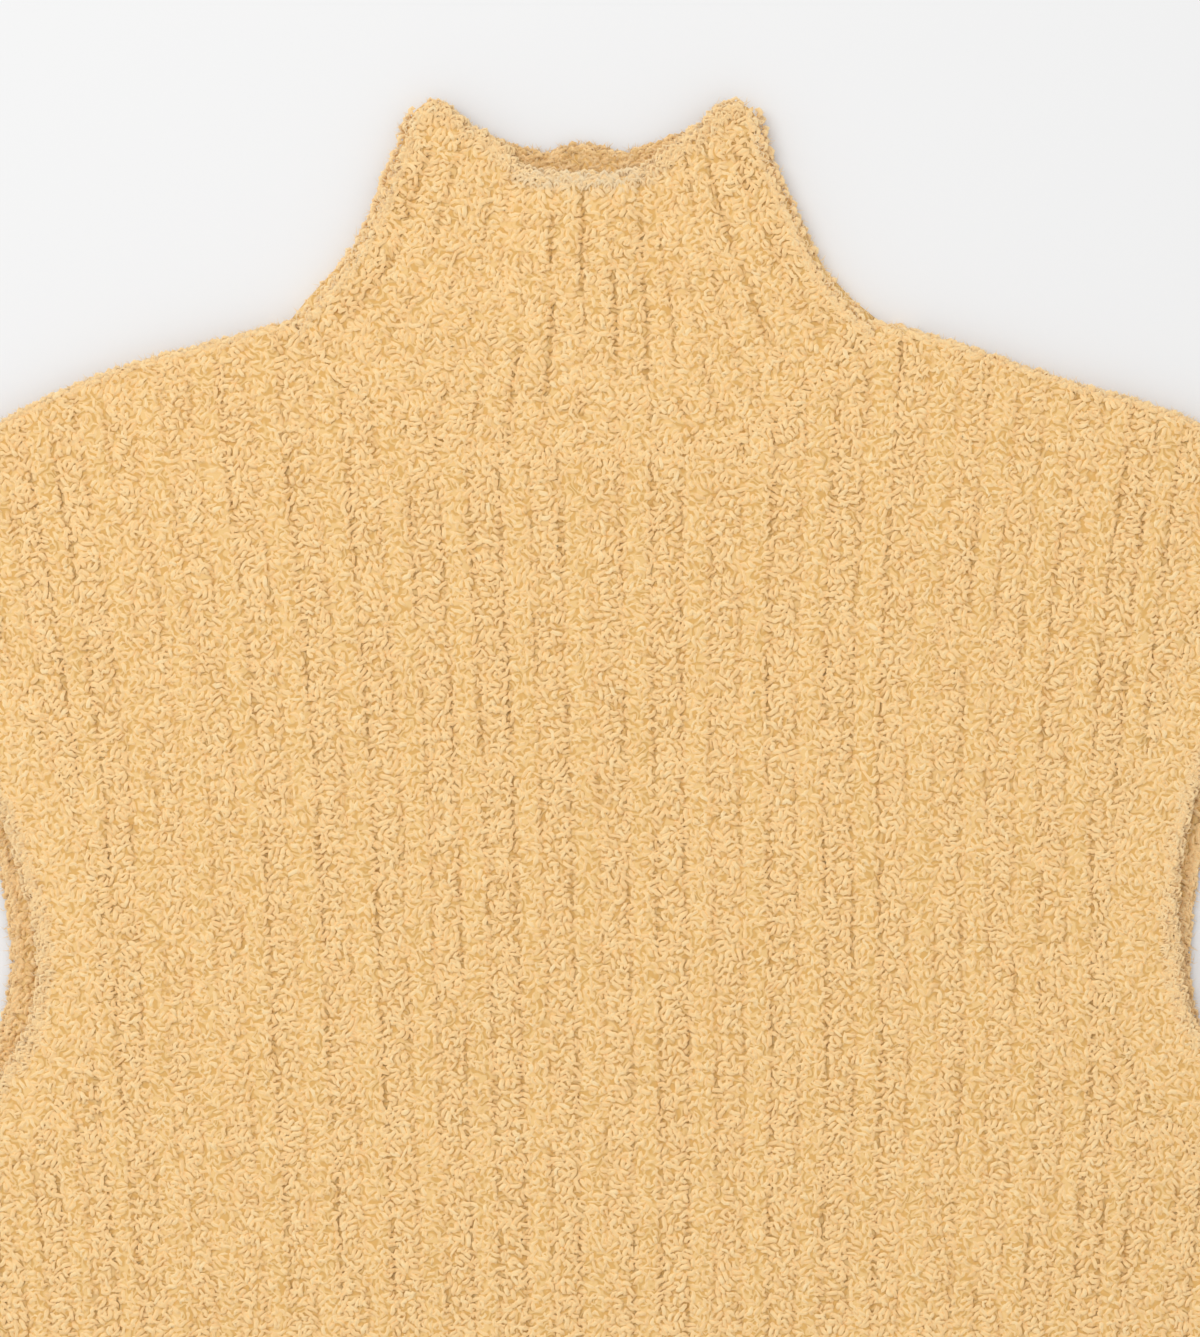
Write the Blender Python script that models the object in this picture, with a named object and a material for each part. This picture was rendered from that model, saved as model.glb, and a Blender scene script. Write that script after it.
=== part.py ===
"""A sleeveless vest with a high neck, knitted in a thick looped yarn and laid flat on its back.

Every length here is in millimetres until a piece is made. x runs across the garment from its
middle, h is the height above the hem, and z stands up off the surface that it lies on.
"""

import math

import bmesh
import bpy
import numpy as np
from mathutils import Vector
from mathutils.geometry import delaunay_2d_cdt

# ---------------------------------------------------------------- driving dimensions

MM = 0.001
LENGTH = 694.0  # from the hem to the two corners of the collar
HEM_HALF = 252.0  # half the width along the hem
SEAM_GAP = 0.3  # between two pieces where they are sewn together
FRONT_WALL = 3.2  # knitted wall under the front's ribs
RIB_RISE = 1.6  # a rib stands this proud of that wall
BACK_WALL = 4.0  # the back lies on its ribs, pressed flat
BAND_WALL = 4.0  # the armholes' strips are plain, so they are even
COLLAR_THICK = 2 * BACK_WALL + SEAM_GAP  # the two layers at the collar's folded sides
BAND_THICK = 2 * BAND_WALL + SEAM_GAP  # the two layers at a strip's folded ends
EDGE_ROUND = 1.3  # how far a panel's edge is rounded above
EDGE_TUCK = 0.3  # and how far it turns in below
RIM_ROUND = 1.0  # how far the collar's free edge is rounded
INNER_TURN = 0.5  # radius of a fold's inner face
LOFT_MOST = 2.7  # most that the front lifts off the back
LOFT_REACH = 45.0  # distance from a fold or seam over which it lifts
SWELL_REACH = 12.0  # distance from a fold or seam over which the swells and troughs set in

RIBS_EACH_SIDE = 27
RIB_CROWDING = 1.0e-4  # ribs crowd towards the sides by this times the cube of their number
FURROW, CREST_START, CREST_END = 0.0, 0.28, 0.72  # places across one rib
COLLAR_HALF_RIBS = 7
COLLAR_ROWS = 8
COLLAR_BACK_POINTS = 17
ROW_STEP = 43.0  # between the places where a rib's line can bend
SPOT_STEP = 42.0  # between the points inside a plain face
SAME_PLACE = 0.35  # points of an outline closer than this are one point
FOLD_STEPS = 3  # points round a fold
SHARP_ANGLE = 50.0  # degrees


def table(columns, *rows):
    """A short table whose columns are read by name."""
    return np.rec.fromrecords([tuple(map(float, row)) for row in rows], names=columns)


# How the front's ribs run: the width of one rib, and where the middle one lies.
RIB_RUN = table(
    "height, pitch, middle",
    (0, 10.05, 3),
    (230, 10.1, 3),
    (330, 10.6, 2),
    (435, 10.75, -1),
    (505, 11.2, -3),
    (570, 11.8, -4),
    (700, 12.6, -4),
)

# The armholes' seams from the shoulder to the underarm, and the sewn strip's width there.
SHOULDER_END = (253, 553, 34)
UNDERARM = (252.7, 268, 37)
LEFT_FRONT_ARMHOLE = table(
    "x, height, strip",
    SHOULDER_END,
    (240, 524, 31),
    (215, 464, 30),
    (193, 411, 31),
    (185, 370, 30),
    (194, 326, 28.5),
    (222, 284, 35),
    UNDERARM,
)
RIGHT_FRONT_ARMHOLE = table(
    "x, height, strip",
    SHOULDER_END,
    (236, 524, 31),
    (215, 472, 27),
    (195, 415, 28.5),
    (187.5, 374, 34),
    (192, 344, 33),
    (219, 296, 36),
    UNDERARM,
)
BACK_ARMHOLE = table(
    "x, height, strip",
    SHOULDER_END,
    (240, 522, 31),
    (218, 462, 31),
    (199, 405, 32),
    (194.5, 370, 32),
    (201, 327, 32),
    (225, 287, 35),
    UNDERARM,
)

# The shoulder seams, from just beyond the collar outwards to the armholes.
LEFT_SHOULDER = table(
    "x, height", (152, 600.5), (182, 592.5), (206, 583), (228, 571.5), SHOULDER_END[:2]
)
RIGHT_SHOULDER = table(
    "x, height", (126, 604.5), (152, 596), (182, 586), (213, 577), (228, 571), SHOULDER_END[:2]
)

# The collar's two folded sides, from its seam up to its corners.
COLLAR_SIDES = table(
    "height, left, right",
    (609, -121, 109),
    (618, -114.5, 99),
    (630, -104.5, 89),
    (642, -95.5, 83),
    (654, -89.5, 77.5),
    (666, -85.5, 71.5),
    (678, -80.5, 67),
    (694, -75, 62.5),
)

# The necklines' dip between the collar's sides: drop * (1 - across ** power).
NECK = table("drop, power", (54.5, 2.7), (20.0, 3.0))
NECK_FRONT, NECK_BACK = NECK

# The collar's free edge: how far it dips below its corners, across from side to side.
RIM = table(
    "across, front, back",
    (-1.0, 4.0, 4.0),
    (-0.95, 1.0, 1.0),
    (-0.82, 1.0, 1.0),
    (-0.68, 9.5, 9.5),
    (-0.47, 17.0, 16.0),
    (-0.40, 25.0, 17.5),
    (-0.23, 27.5, 20.0),
    (0.0, 28.5, 15.5),
    (0.23, 28.0, 20.0),
    (0.37, 26.0, 17.0),
    (0.46, 20.5, 15.0),
    (0.68, 10.0, 10.0),
    (0.82, 1.0, 1.0),
    (0.95, 1.0, 1.0),
    (1.0, 4.0, 4.0),
)

# Where each of the collar's ribs lies on its seam and on its edge, from the middle outwards.
COLLAR_RIBS = table(
    "number, at_seam, at_edge",
    (0, 0, 0),
    (1, 0.135, 0.18),
    (2, 0.265, 0.35),
    (3, 0.40, 0.45),
    (4, 0.53, 0.53),
    (5, 0.665, 0.62),
    (6, 0.80, 0.73),
    (7, 0.93, 0.87),
    (7.5, 1, 1),
)

# Soft troughs pressed into the front, lying along it.
TROUGHS = table(
    "x, height, half_length, half_width, lean, depth",
    (-37, 650, 26, 8, 0.10, 2.0),
    (19, 638, 34, 8, -0.05, 2.0),
    (1, 400, 30, 9, -0.20, 0.7),
    (0, 296, 22, 14, 0.0, 0.5),
)

# Broad swells where the front lies unevenly over the back.
SWELLS = table(
    "x, height, spread, rise",
    (-120, 470, 70, 0.5),
    (95, 380, 80, 0.5),
    (-60, 210, 90, 0.4),
    (130, 140, 80, 0.5),
    (-160, 90, 70, -0.5),
    (40, 60, 70, -0.4),
    (-9, 600, 40, 0.4),
)

# Across a strip round an armhole: how far from its seam, and how deep in the wall.
STRIP_SECTION = table(
    "share, depth", (0, 0), (0.5, 0), (0.93, 0), (1, 0.5), (0.97, 1), (0.5, 1), (0, 1)
)

YARN_COLOUR = "ECC388"
BACK_COLOUR = "E4BA80"
YARN_ROUGHNESS = 0.95


# ---------------------------------------------------------------- curves


def distance_along(line):
    """Distance along a line to each of its points."""
    return np.concatenate([[0], np.cumsum(np.linalg.norm(np.diff(line, axis=0), axis=1))])


def smooth_through(rows, count):
    """Points along a smooth curve through the rows, evenly spaced in the distance along them."""
    rows = np.array(rows.tolist())
    along = distance_along(rows[:, :2])
    slope = np.gradient(rows, along, axis=0)
    wanted = np.linspace(0, along[-1], count)
    first = np.clip(np.searchsorted(along, wanted, side="right") - 1, 0, len(rows) - 2)
    step = (along[first + 1] - along[first])[:, None]
    t = (wanted - along[first])[:, None] / step
    start, end = rows[first], rows[first + 1]
    leave, arrive = slope[first] * step, slope[first + 1] * step
    blend = t * t * (3 - 2 * t)
    return start * (1 - blend) + end * blend + leave * t * (1 - t) ** 2 - arrive * t * t * (1 - t)


def moved_sideways(line, distance):
    """The open line moved to its right by a distance, which may vary along it."""
    along = np.gradient(line, axis=0)
    along /= np.linalg.norm(along, axis=1)[:, None]
    return line + np.column_stack([along[:, 1], -along[:, 0]]) * np.reshape(distance, (-1, 1))


def inset(loop, distance):
    """The closed anticlockwise loop moved inwards along the bisectors of its corners."""
    before = loop - np.roll(loop, 1, axis=0)
    before /= np.linalg.norm(before, axis=1)[:, None]
    after = np.roll(before, -1, axis=0)
    inwards = np.column_stack([-before[:, 1] - after[:, 1], before[:, 0] + after[:, 0]])
    return loop + inwards * distance / np.maximum((inwards**2).sum(axis=1) / 2, 0.5)[:, None]


def distance_to(x, h, lines):
    """Distance in the plane from each place to the nearest of the lines."""
    place = np.stack([x, h], axis=-1)
    nearest = np.full(np.shape(x), np.inf)
    for line in lines:
        for a, b in zip(line[:-1], line[1:]):
            span = b - a
            t = np.clip(((place - a) @ span) / (span @ span), 0, 1)
            gap = np.linalg.norm(place - a - t[..., None] * span, axis=-1)
            nearest = np.minimum(nearest, gap)
    return nearest


def is_inside(places, loop):
    """Which places lie inside the closed loop, by counting the edges that a level ray crosses."""
    ends = np.roll(loop, -1, axis=0)
    x, h = places[:, 0, None], places[:, 1, None]
    spans = (loop[:, 1] > h) != (ends[:, 1] > h)
    rise = np.where(ends[:, 1] == loop[:, 1], 1, ends[:, 1] - loop[:, 1])
    meets = loop[:, 0] + (h - loop[:, 1]) * (ends[:, 0] - loop[:, 0]) / rise
    return (spans & (x < meets)).sum(axis=1) % 2 == 1


# ---------------------------------------------------------------- the garment's lines


def collar_middle_and_half(height):
    """The middle of the collar at a height on its sides, and half its width there."""
    left = np.interp(height, COLLAR_SIDES.height, COLLAR_SIDES.left)
    right = np.interp(height, COLLAR_SIDES.height, COLLAR_SIDES.right)
    return (left + right) / 2, (right - left) / 2


def fold_turn():
    """Round a fold, from the front's face down to the back's: how far out, and the layer's share."""
    angles = np.radians(np.linspace(90, -90, FOLD_STEPS + 2)[1:-1])
    return list(zip(np.cos(angles), (1 + np.sin(angles)) / 2))


def collar_places():
    """The points round the collar: across the front, round a fold, back, and round the other.

    bulge is how far a fold's point stands out, and layer is 1 on the front and 0 on the back.
    """
    side = COLLAR_HALF_RIBS + 0.5
    ribs = [-side]
    for number in range(-COLLAR_HALF_RIBS, COLLAR_HALF_RIBS):
        ribs += [number + place for place in (FURROW, CREST_START, CREST_END)]
    ribs += [COLLAR_HALF_RIBS, side]
    rows = [(rib, 0, 1) for rib in ribs]
    rows += [(side, bulge, layer) for bulge, layer in fold_turn()]
    rows += [(rib, 0, 0) for rib in np.linspace(side, -side, COLLAR_BACK_POINTS)]
    rows += [(-side, -bulge, layer) for bulge, layer in reversed(fold_turn())]
    return table("rib, bulge, layer", *rows)


def collar_rib_place(rib, column):
    """How far across the collar each of its ribs lies, from -1 to 1, by one of the columns."""
    return np.sign(rib) * np.interp(np.abs(rib), COLLAR_RIBS.number, COLLAR_RIBS[column])


NECK_HEIGHT = COLLAR_SIDES.height[0]
NECK_MIDDLE, NECK_HALF = collar_middle_and_half(NECK_HEIGHT)


def neck_dip(across, neck):
    """How far the seam between a panel and the collar dips below the collar's sides."""
    return neck.drop * (1 - np.abs(across) ** neck.power)


def neck_curve(neck, layer):
    """The neckline from right to left, with a point wherever the collar sewn to it has one."""
    places = collar_places()
    across = (1 - COLLAR_THICK / 2 / NECK_HALF) * collar_rib_place(places.rib, "at_seam")
    across = np.sort(across[places.layer == layer])[::-1]
    across = np.concatenate([[1], across, [-1]])
    return np.column_stack([NECK_MIDDLE + NECK_HALF * across, NECK_HEIGHT - neck_dip(across, neck)])


def armhole(rows, side, count=23):
    """The armhole's seam from shoulder to underarm, and the free edge of the strip sewn to it."""
    x, height, strip = smooth_through(rows, count).T
    seam = np.column_stack([x, height])
    edge = moved_sideways(seam, -strip)
    return seam * (side, 1), edge * (side, 1)


def shoulder(rows, side, count=11):
    """The shoulder seam from the collar to the armhole."""
    neck_point = (NECK_HALF + side * NECK_MIDDLE, NECK_HEIGHT)
    return smooth_through(table("x, height", neck_point, *rows), count) * (side, 1)


def side_seam(side, count=7):
    """The side seam from the hem to the underarm."""
    return np.linspace((side * HEM_HALF, 0), (side * UNDERARM[0], UNDERARM[1]), count)


def panel_outline(left_rows, right_rows, neck):
    """A panel's outline, anticlockwise from the left end of the hem."""
    stretches = (
        side_seam(1),
        armhole(right_rows, 1)[0][::-1],
        shoulder(RIGHT_SHOULDER, 1)[::-1],
        neck,
        shoulder(LEFT_SHOULDER, -1),
        armhole(left_rows, -1)[0],
        side_seam(-1)[::-1],
    )
    loop = np.concatenate(stretches)
    apart = np.linalg.norm(loop - np.roll(loop, 1, axis=0), axis=1) > SAME_PLACE
    return loop[apart]


def closed_edges():
    """The lines along which the front layer meets the back: sides, shoulders, collar and strips."""
    heights = COLLAR_SIDES.height
    lines = [np.column_stack([edge, heights]) for edge in (COLLAR_SIDES.left, COLLAR_SIDES.right)]
    for side, rows, top in (
        (-1, LEFT_FRONT_ARMHOLE, LEFT_SHOULDER),
        (1, RIGHT_FRONT_ARMHOLE, RIGHT_SHOULDER),
    ):
        seam, edge = armhole(rows, side)
        lines += [side_seam(side), shoulder(top, side)]
        lines += [np.array([seam[0], edge[0]]), np.array([seam[-1], edge[-1]])]
    return lines


CLOSED_EDGES = closed_edges()


def front_inside(x, h):
    """z of the front layer's inner face: it lies on the back at its seams and lifts between them."""
    apart = distance_to(x, h, CLOSED_EDGES)
    lift = LOFT_MOST * (1 - np.exp(-((apart / LOFT_REACH) ** 2)))
    free = 1 - np.exp(-((apart / SWELL_REACH) ** 2))
    for swell in SWELLS:
        away = (x - swell.x) ** 2 + (h - swell.height) ** 2
        lift = lift + free * swell.rise * np.exp(-away / swell.spread**2)
    for trough in TROUGHS:
        along = h - trough.height
        across = (x - trough.x - trough.lean * along) / trough.half_width
        lift = lift - trough.depth * np.exp(-((along / trough.half_length) ** 4) - across**2)
    return BACK_WALL + SEAM_GAP + np.maximum(lift, 0)


# ---------------------------------------------------------------- ribs


def rib_shape(place):
    """Height of a rib, 0 to 1, at a place across it counted from a furrow."""
    place = np.mod(place, 1)
    return np.clip(np.minimum(place, 1 - place) / CREST_START, 0, 1)


def rib_x(number, height):
    """Where the front's rib of this number lies at a height."""
    pitch = np.interp(height, RIB_RUN.height, RIB_RUN.pitch)
    middle = np.interp(height, RIB_RUN.height, RIB_RUN.middle)
    return middle + pitch * (number - RIB_CROWDING * number**3)


def rib_number(x, height):
    """The inverse of rib_x, at each of some places."""
    ribs = np.arange(-RIBS_EACH_SIDE - 1, RIBS_EACH_SIDE + 1, 0.05)
    return np.array([np.interp(a, rib_x(ribs, b), ribs) for a, b in zip(x, height)])


def front_outside(x, h):
    """z of the front panel's outer face, with its ribs."""
    return front_inside(x, h) + FRONT_WALL + RIB_RISE * rib_shape(rib_number(x, h))


def front_rib_lines():
    """The lines along each rib's furrow and the two edges of its crest."""
    heights = np.arange(-ROW_STEP / 2, LENGTH - ROW_STEP, ROW_STEP)
    for number in range(-RIBS_EACH_SIDE, RIBS_EACH_SIDE + 1):
        for place in (FURROW, CREST_START, CREST_END):
            yield np.column_stack([rib_x(number + place, heights), heights])


# ---------------------------------------------------------------- making the pieces


def linear(code):
    """An sRGB hex colour as Blender's linear values."""
    parts = [int(code[i : i + 2], 16) / 255 for i in (0, 2, 4)]
    return [c / 12.92 if c <= 0.04045 else ((c + 0.055) / 1.055) ** 2.4 for c in parts] + [1.0]


def knit_material(name, code):
    material = bpy.data.materials.new(name)
    material.use_nodes = True
    shader = material.node_tree.nodes["Principled BSDF"]
    shader.inputs["Base Color"].default_value = linear(code)
    shader.inputs["Roughness"].default_value = YARN_ROUGHNESS
    shader.inputs["Metallic"].default_value = 0.0
    return material


def make_piece(name, points, faces, collection, colour):
    """One closed solid from points in x, h and z, placed with the garment's middle at the origin."""
    placed = (np.asarray(points, float) - (0, LENGTH / 2, 0)) * MM
    mesh = bpy.data.meshes.new(name)
    mesh.from_pydata(placed.tolist(), [], [list(map(int, face)) for face in faces])
    shape = bmesh.new()
    shape.from_mesh(mesh)
    bmesh.ops.recalc_face_normals(shape, faces=shape.faces)
    shape.to_mesh(mesh)
    shape.free()
    piece = bpy.data.objects.new(name, mesh)
    piece.data.materials.append(knit_material(name + "_knit", colour))
    mesh.shade_smooth()
    mesh.set_sharp_from_angle(angle=math.radians(SHARP_ANGLE))
    collection.objects.link(piece)
    return piece


def filled(loop, lines=(), spots=(), near=0.001):
    """Triangles that fill a closed loop, with edges along the lines and points at the spots."""
    places = [Vector(p) for p in loop]
    edges = []
    for line in lines:
        edges += [(i, i + 1) for i in range(len(places), len(places) + len(line) - 1)]
        places += [Vector(p) for p in line]
    places += [Vector(p) for p in spots]
    found = delaunay_2d_cdt(places, edges, [list(range(len(loop)))], 0, near, True)
    made, faces, sources, of_loop = found[0], found[2], found[3], found[5]
    faces = [face for face, of in zip(faces, of_loop) if of]
    used = sorted({i for face in faces for i in face})
    number = {old: new for new, old in enumerate(used)}
    points = np.array([made[i] for i in used])
    given = [min(sources[i]) if sources[i] else -1 for i in used]
    return points, [[number[i] for i in face] for face in faces], given


def border(faces):
    """The points round the outside of some triangles, in order."""
    sides = {(a, b) for face in faces for a, b in zip(face, face[1:] + face[:1])}
    after = {a: b for a, b in sides if (b, a) not in sides}
    ring = [min(after)]
    while after[ring[-1]] != ring[0]:
        ring.append(after[ring[-1]])
    return ring


def spots_inside(loop):
    """A staggered grid of points well inside a loop."""
    low, high = loop.min(axis=0), loop.max(axis=0)
    rows = []
    for i, h in enumerate(np.arange(low[1] + SPOT_STEP / 2, high[1], SPOT_STEP)):
        x = np.arange(low[0] + SPOT_STEP / 2 * (1 + i % 2), high[0], SPOT_STEP)
        rows.append(np.column_stack([x, np.full(len(x), h)]))
    spots = np.concatenate(rows)
    from_edge = distance_to(spots[:, 0], spots[:, 1], [np.concatenate([loop, loop[:1]])])
    return spots[(from_edge > SPOT_STEP / 3) & is_inside(spots, loop)]


def make_panel(name, outline, lines, upper, lower, collection, colour):
    """A flat knitted piece with a rounded edge, between the faces upper(x, h) and lower(x, h)."""
    shoulder_of_edge = inset(outline, EDGE_ROUND)
    spots = () if lines else spots_inside(outline)
    top, top_faces, _ = filled(shoulder_of_edge, lines, spots, SAME_PLACE)
    ring = border(top_faces)
    nose = inset(top[ring], -EDGE_ROUND)
    foot = inset(top[ring], EDGE_TUCK - EDGE_ROUND)
    base, base_faces, given = filled(foot, (), spots_inside(foot))

    first_nose = len(top)
    first_base = first_nose + len(nose)
    at_foot = {source: first_base + i for i, source in enumerate(given) if source < len(foot)}
    nose_z = lower(*nose.T) + FRONT_WALL / 2
    points = [
        np.column_stack([top, upper(*top.T)]),
        np.column_stack([nose, nose_z]),
        np.column_stack([base, lower(*base.T)]),
    ]
    faces = top_faces + [[first_base + i for i in reversed(face)] for face in base_faces]
    for i, start in enumerate(ring):
        j = (i + 1) % len(ring)
        faces.append([ring[j], start, first_nose + i, first_nose + j])
        faces.append([first_nose + j, first_nose + i, at_foot[i], at_foot[j]])
    return make_piece(name, np.concatenate(points), faces, collection, colour)


def make_ring_piece(name, grid, collection, colour):
    """A closed solid from a grid of points that meets itself in both directions."""
    rows, columns = grid.shape[:2]
    number = np.arange(rows * columns).reshape(rows, columns)
    on, down = np.roll(number, -1, axis=1), np.roll(number, -1, axis=0)
    faces = np.stack([number, on, np.roll(on, -1, axis=0), down], axis=-1).reshape(-1, 4)
    return make_piece(name, grid.reshape(-1, 3), faces, collection, colour)


def seam_clearance(across):
    """Height that keeps the collar its seam's gap from the panels, whatever the neckline's slope."""
    slope = NECK_FRONT.drop * NECK_FRONT.power * np.abs(across) ** (NECK_FRONT.power - 1) / NECK_HALF
    return SEAM_GAP * np.sqrt(1 + slope**2)


def collar_ring(share, inner):
    """The points round the collar at a share of its height, on its outer or its inner face."""
    places = collar_places()
    height = NECK_HEIGHT + (LENGTH - NECK_HEIGHT) * share
    middle, half = collar_middle_and_half(height)
    at_seam = collar_rib_place(places.rib, "at_seam")
    at_edge = collar_rib_place(places.rib, "at_edge")
    turn = INNER_TURN if inner else COLLAR_THICK / 2
    across = at_seam * (1 - share) + at_edge * share
    x = middle + (half - COLLAR_THICK / 2) * across + turn * places.bulge

    across = np.clip((x - middle) / half, -1, 1)
    dip_front = neck_dip(across, NECK_FRONT) * (1 - share)
    dip_front += np.interp(across, RIM.across, RIM.front) * share
    dip_back = neck_dip(across, NECK_BACK) * (1 - share)
    dip_back += np.interp(across, RIM.across, RIM.back) * share
    h = height - np.where(places.layer > 0.5, dip_front, dip_back)
    h += seam_clearance(across) * (1 - share)

    inside = front_inside(x, h)
    rib_space = np.diff(COLLAR_RIBS.at_edge) / np.diff(COLLAR_RIBS.at_seam)
    squeezed = np.interp(np.abs(places.rib), COLLAR_RIBS.number[:-1] + 0.5, np.minimum(rib_space, 1))
    rise = RIB_RISE * rib_shape(places.rib) * (1 - share + share * squeezed)
    if inner:
        z = BACK_WALL + (inside - BACK_WALL) * places.layer
    else:
        z = np.where(places.layer == 1, inside + FRONT_WALL + rise, COLLAR_THICK * places.layer)
    return np.column_stack([x, h, z])


def make_collar(collection):
    """The collar: a knitted rib tube, folded flat at its sides, dipping at the front."""
    shares = np.linspace(0, 1, COLLAR_ROWS)
    outer = [collar_ring(share, inner=False) for share in shares]
    inner = [collar_ring(share, inner=True) for share in shares[::-1]]
    rim = (outer[-1] + inner[0]) / 2 + (0, RIM_ROUND, 0)
    return make_ring_piece("collar", np.array(outer + [rim] + inner), collection, YARN_COLOUR)


def trimmed(line, distance):
    """The open line with a distance taken off each end."""
    along = distance_along(line)
    wanted = np.linspace(distance, along[-1] - distance, len(line))
    return np.column_stack([np.interp(wanted, along, column) for column in line.T])


def band_layer(rows, side, face):
    """One layer of the strip round an armhole: a row of points across it at each place along it."""
    seam, edge = armhole(rows, side)
    seam = trimmed(moved_sideways(seam, -side * SEAM_GAP), BAND_THICK / 2)
    edge = trimmed(edge, BAND_THICK / 2)
    columns = []
    for share, depth in STRIP_SECTION:
        place = seam + (edge - seam) * share
        columns.append(np.column_stack([place, face(*place.T, depth)]))
    return np.stack(columns, axis=1)


def band_fold(start, end, before):
    """The sections of a strip round the fold between its two layers."""
    outwards = (start - before)[:, :2].mean(axis=0)
    outwards /= np.linalg.norm(outwards)
    reach = np.abs(start[:, 2] - end[:, 2])[:, None] / 2
    sections = []
    for bulge, layer in fold_turn():
        section = start * layer + end * (1 - layer)
        section[:, :2] += reach * bulge * outwards
        sections.append(section)
    return sections


def make_armband(name, front_rows, side, collection):
    """A plain strip sewn round an armhole, folded flat at the shoulder and at the underarm."""
    front = band_layer(front_rows, side, lambda x, h, depth: front_inside(x, h) + BAND_WALL * (1 - depth))
    back = band_layer(BACK_ARMHOLE, side, lambda x, h, depth: 0 * x + BAND_WALL * depth)[::-1]
    underarm = band_fold(front[-1], back[0], front[-2])
    shoulder_end = band_fold(back[-1], front[0], back[-2])
    grid = np.array(list(front) + underarm + list(back) + shoulder_end)
    return make_ring_piece(name, grid, collection, YARN_COLOUR)


def main():
    for thing in list(bpy.data.objects):
        bpy.data.objects.remove(thing, do_unlink=True)
    collection = bpy.data.collections.new("sweater_vest")
    bpy.context.scene.collection.children.link(collection)

    outline = panel_outline(BACK_ARMHOLE, BACK_ARMHOLE, neck_curve(NECK_BACK, layer=0))
    make_panel(
        "back_panel",
        outline,
        (),
        lambda x, h: 0 * x + BACK_WALL,
        lambda x, h: 0 * x,
        collection,
        BACK_COLOUR,
    )
    outline = panel_outline(
        LEFT_FRONT_ARMHOLE, RIGHT_FRONT_ARMHOLE, neck_curve(NECK_FRONT, layer=1)
    )
    make_panel(
        "front_panel",
        outline,
        list(front_rib_lines()),
        front_outside,
        front_inside,
        collection,
        YARN_COLOUR,
    )
    make_collar(collection)
    make_armband("armband_left", LEFT_FRONT_ARMHOLE, -1, collection)
    make_armband("armband_right", RIGHT_FRONT_ARMHOLE, 1, collection)


main()
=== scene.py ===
# %% [markdown]
# # A sleeveless vest in looped yarn, laid flat
#
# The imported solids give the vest's form: two knitted panels, a ribbed collar and a strip round
# each armhole. This lesson dresses them. Each solid is replaced by a finer shell of the same
# form, and on every face that shows, the yarn's own loops are laid as small curled strands.
#
# Lengths are in millimetres until a mesh is made. x runs across the vest, h is the height above
# the hem as it lies, and z stands up off the floor.

# %% The frame and its box
import math

import bmesh
import bpy
import numpy as np
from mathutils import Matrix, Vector
from mathutils.geometry import delaunay_2d_cdt


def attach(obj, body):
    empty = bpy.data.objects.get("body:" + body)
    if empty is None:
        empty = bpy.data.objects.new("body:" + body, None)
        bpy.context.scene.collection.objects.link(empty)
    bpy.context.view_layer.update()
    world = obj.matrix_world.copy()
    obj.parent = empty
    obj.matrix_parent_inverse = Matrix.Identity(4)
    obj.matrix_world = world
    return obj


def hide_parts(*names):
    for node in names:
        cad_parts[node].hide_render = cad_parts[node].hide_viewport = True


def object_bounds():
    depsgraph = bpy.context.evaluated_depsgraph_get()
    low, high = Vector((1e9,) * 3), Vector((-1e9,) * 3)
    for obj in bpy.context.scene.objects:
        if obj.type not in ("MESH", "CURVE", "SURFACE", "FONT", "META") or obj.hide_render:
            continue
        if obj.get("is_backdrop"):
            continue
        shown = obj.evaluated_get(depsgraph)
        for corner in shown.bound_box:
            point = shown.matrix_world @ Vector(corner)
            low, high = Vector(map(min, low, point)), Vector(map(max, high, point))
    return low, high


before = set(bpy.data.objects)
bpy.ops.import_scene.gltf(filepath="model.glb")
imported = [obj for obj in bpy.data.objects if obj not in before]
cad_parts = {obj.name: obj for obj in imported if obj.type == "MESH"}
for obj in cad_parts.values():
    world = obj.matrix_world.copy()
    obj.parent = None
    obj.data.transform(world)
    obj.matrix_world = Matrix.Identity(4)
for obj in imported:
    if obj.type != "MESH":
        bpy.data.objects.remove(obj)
cad_low, cad_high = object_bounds()
print("solids:", ", ".join(sorted(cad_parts)))
print("their box in mm:", [round(1000 * (b - a), 1) for a, b in zip(cad_low, cad_high)])

# %% [markdown]
# ## Camera
#
# The photograph looks straight down on the vest, so its scale is one number: 0.38 mm to a
# pixel. A 100 mm lens on a 36 mm sensor then stands at the distance that fits the whole
# picture's long side into the sensor's. The middle of the picture is a place on the vest.

# %% The camera above the vest
MM = 0.001
PIXEL = 0.38  # in mm
PICTURE_HIGH = 1337
HEIGHT_AT_TOP = 730.7  # height above the hem at the picture's upper edge
LENGTH = 694.0  # of the whole vest, hem to collar corners
CLOTH_TOP = 9.0  # z of the face that the scale was read on
LENS, SENSOR = 100.0, 36.0

picture_middle = HEIGHT_AT_TOP - PIXEL * PICTURE_HIGH / 2 - LENGTH / 2
stand_off = PICTURE_HIGH * PIXEL * LENS / SENSOR
camera_data = bpy.data.cameras.new("overhead")
camera_data.lens = LENS
camera_data.sensor_width = SENSOR
camera = bpy.data.objects.new("overhead", camera_data)
camera.location = (0, picture_middle * MM, (CLOTH_TOP + stand_off) * MM)
bpy.context.scene.collection.objects.link(camera)
bpy.context.scene.camera = camera
print(f"camera {stand_off:.0f} mm above the cloth, over y {picture_middle:.1f} mm")

# %% [markdown]
# ## Colours and nodes
#
# Colours are written as the sRGB hex codes that one reads off a screen. Blender's shaders work
# in linear light, so one function turns them. One more adds a node with its settings and links,
# and every material below is made with it.

# %% Two small helpers for materials


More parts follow.
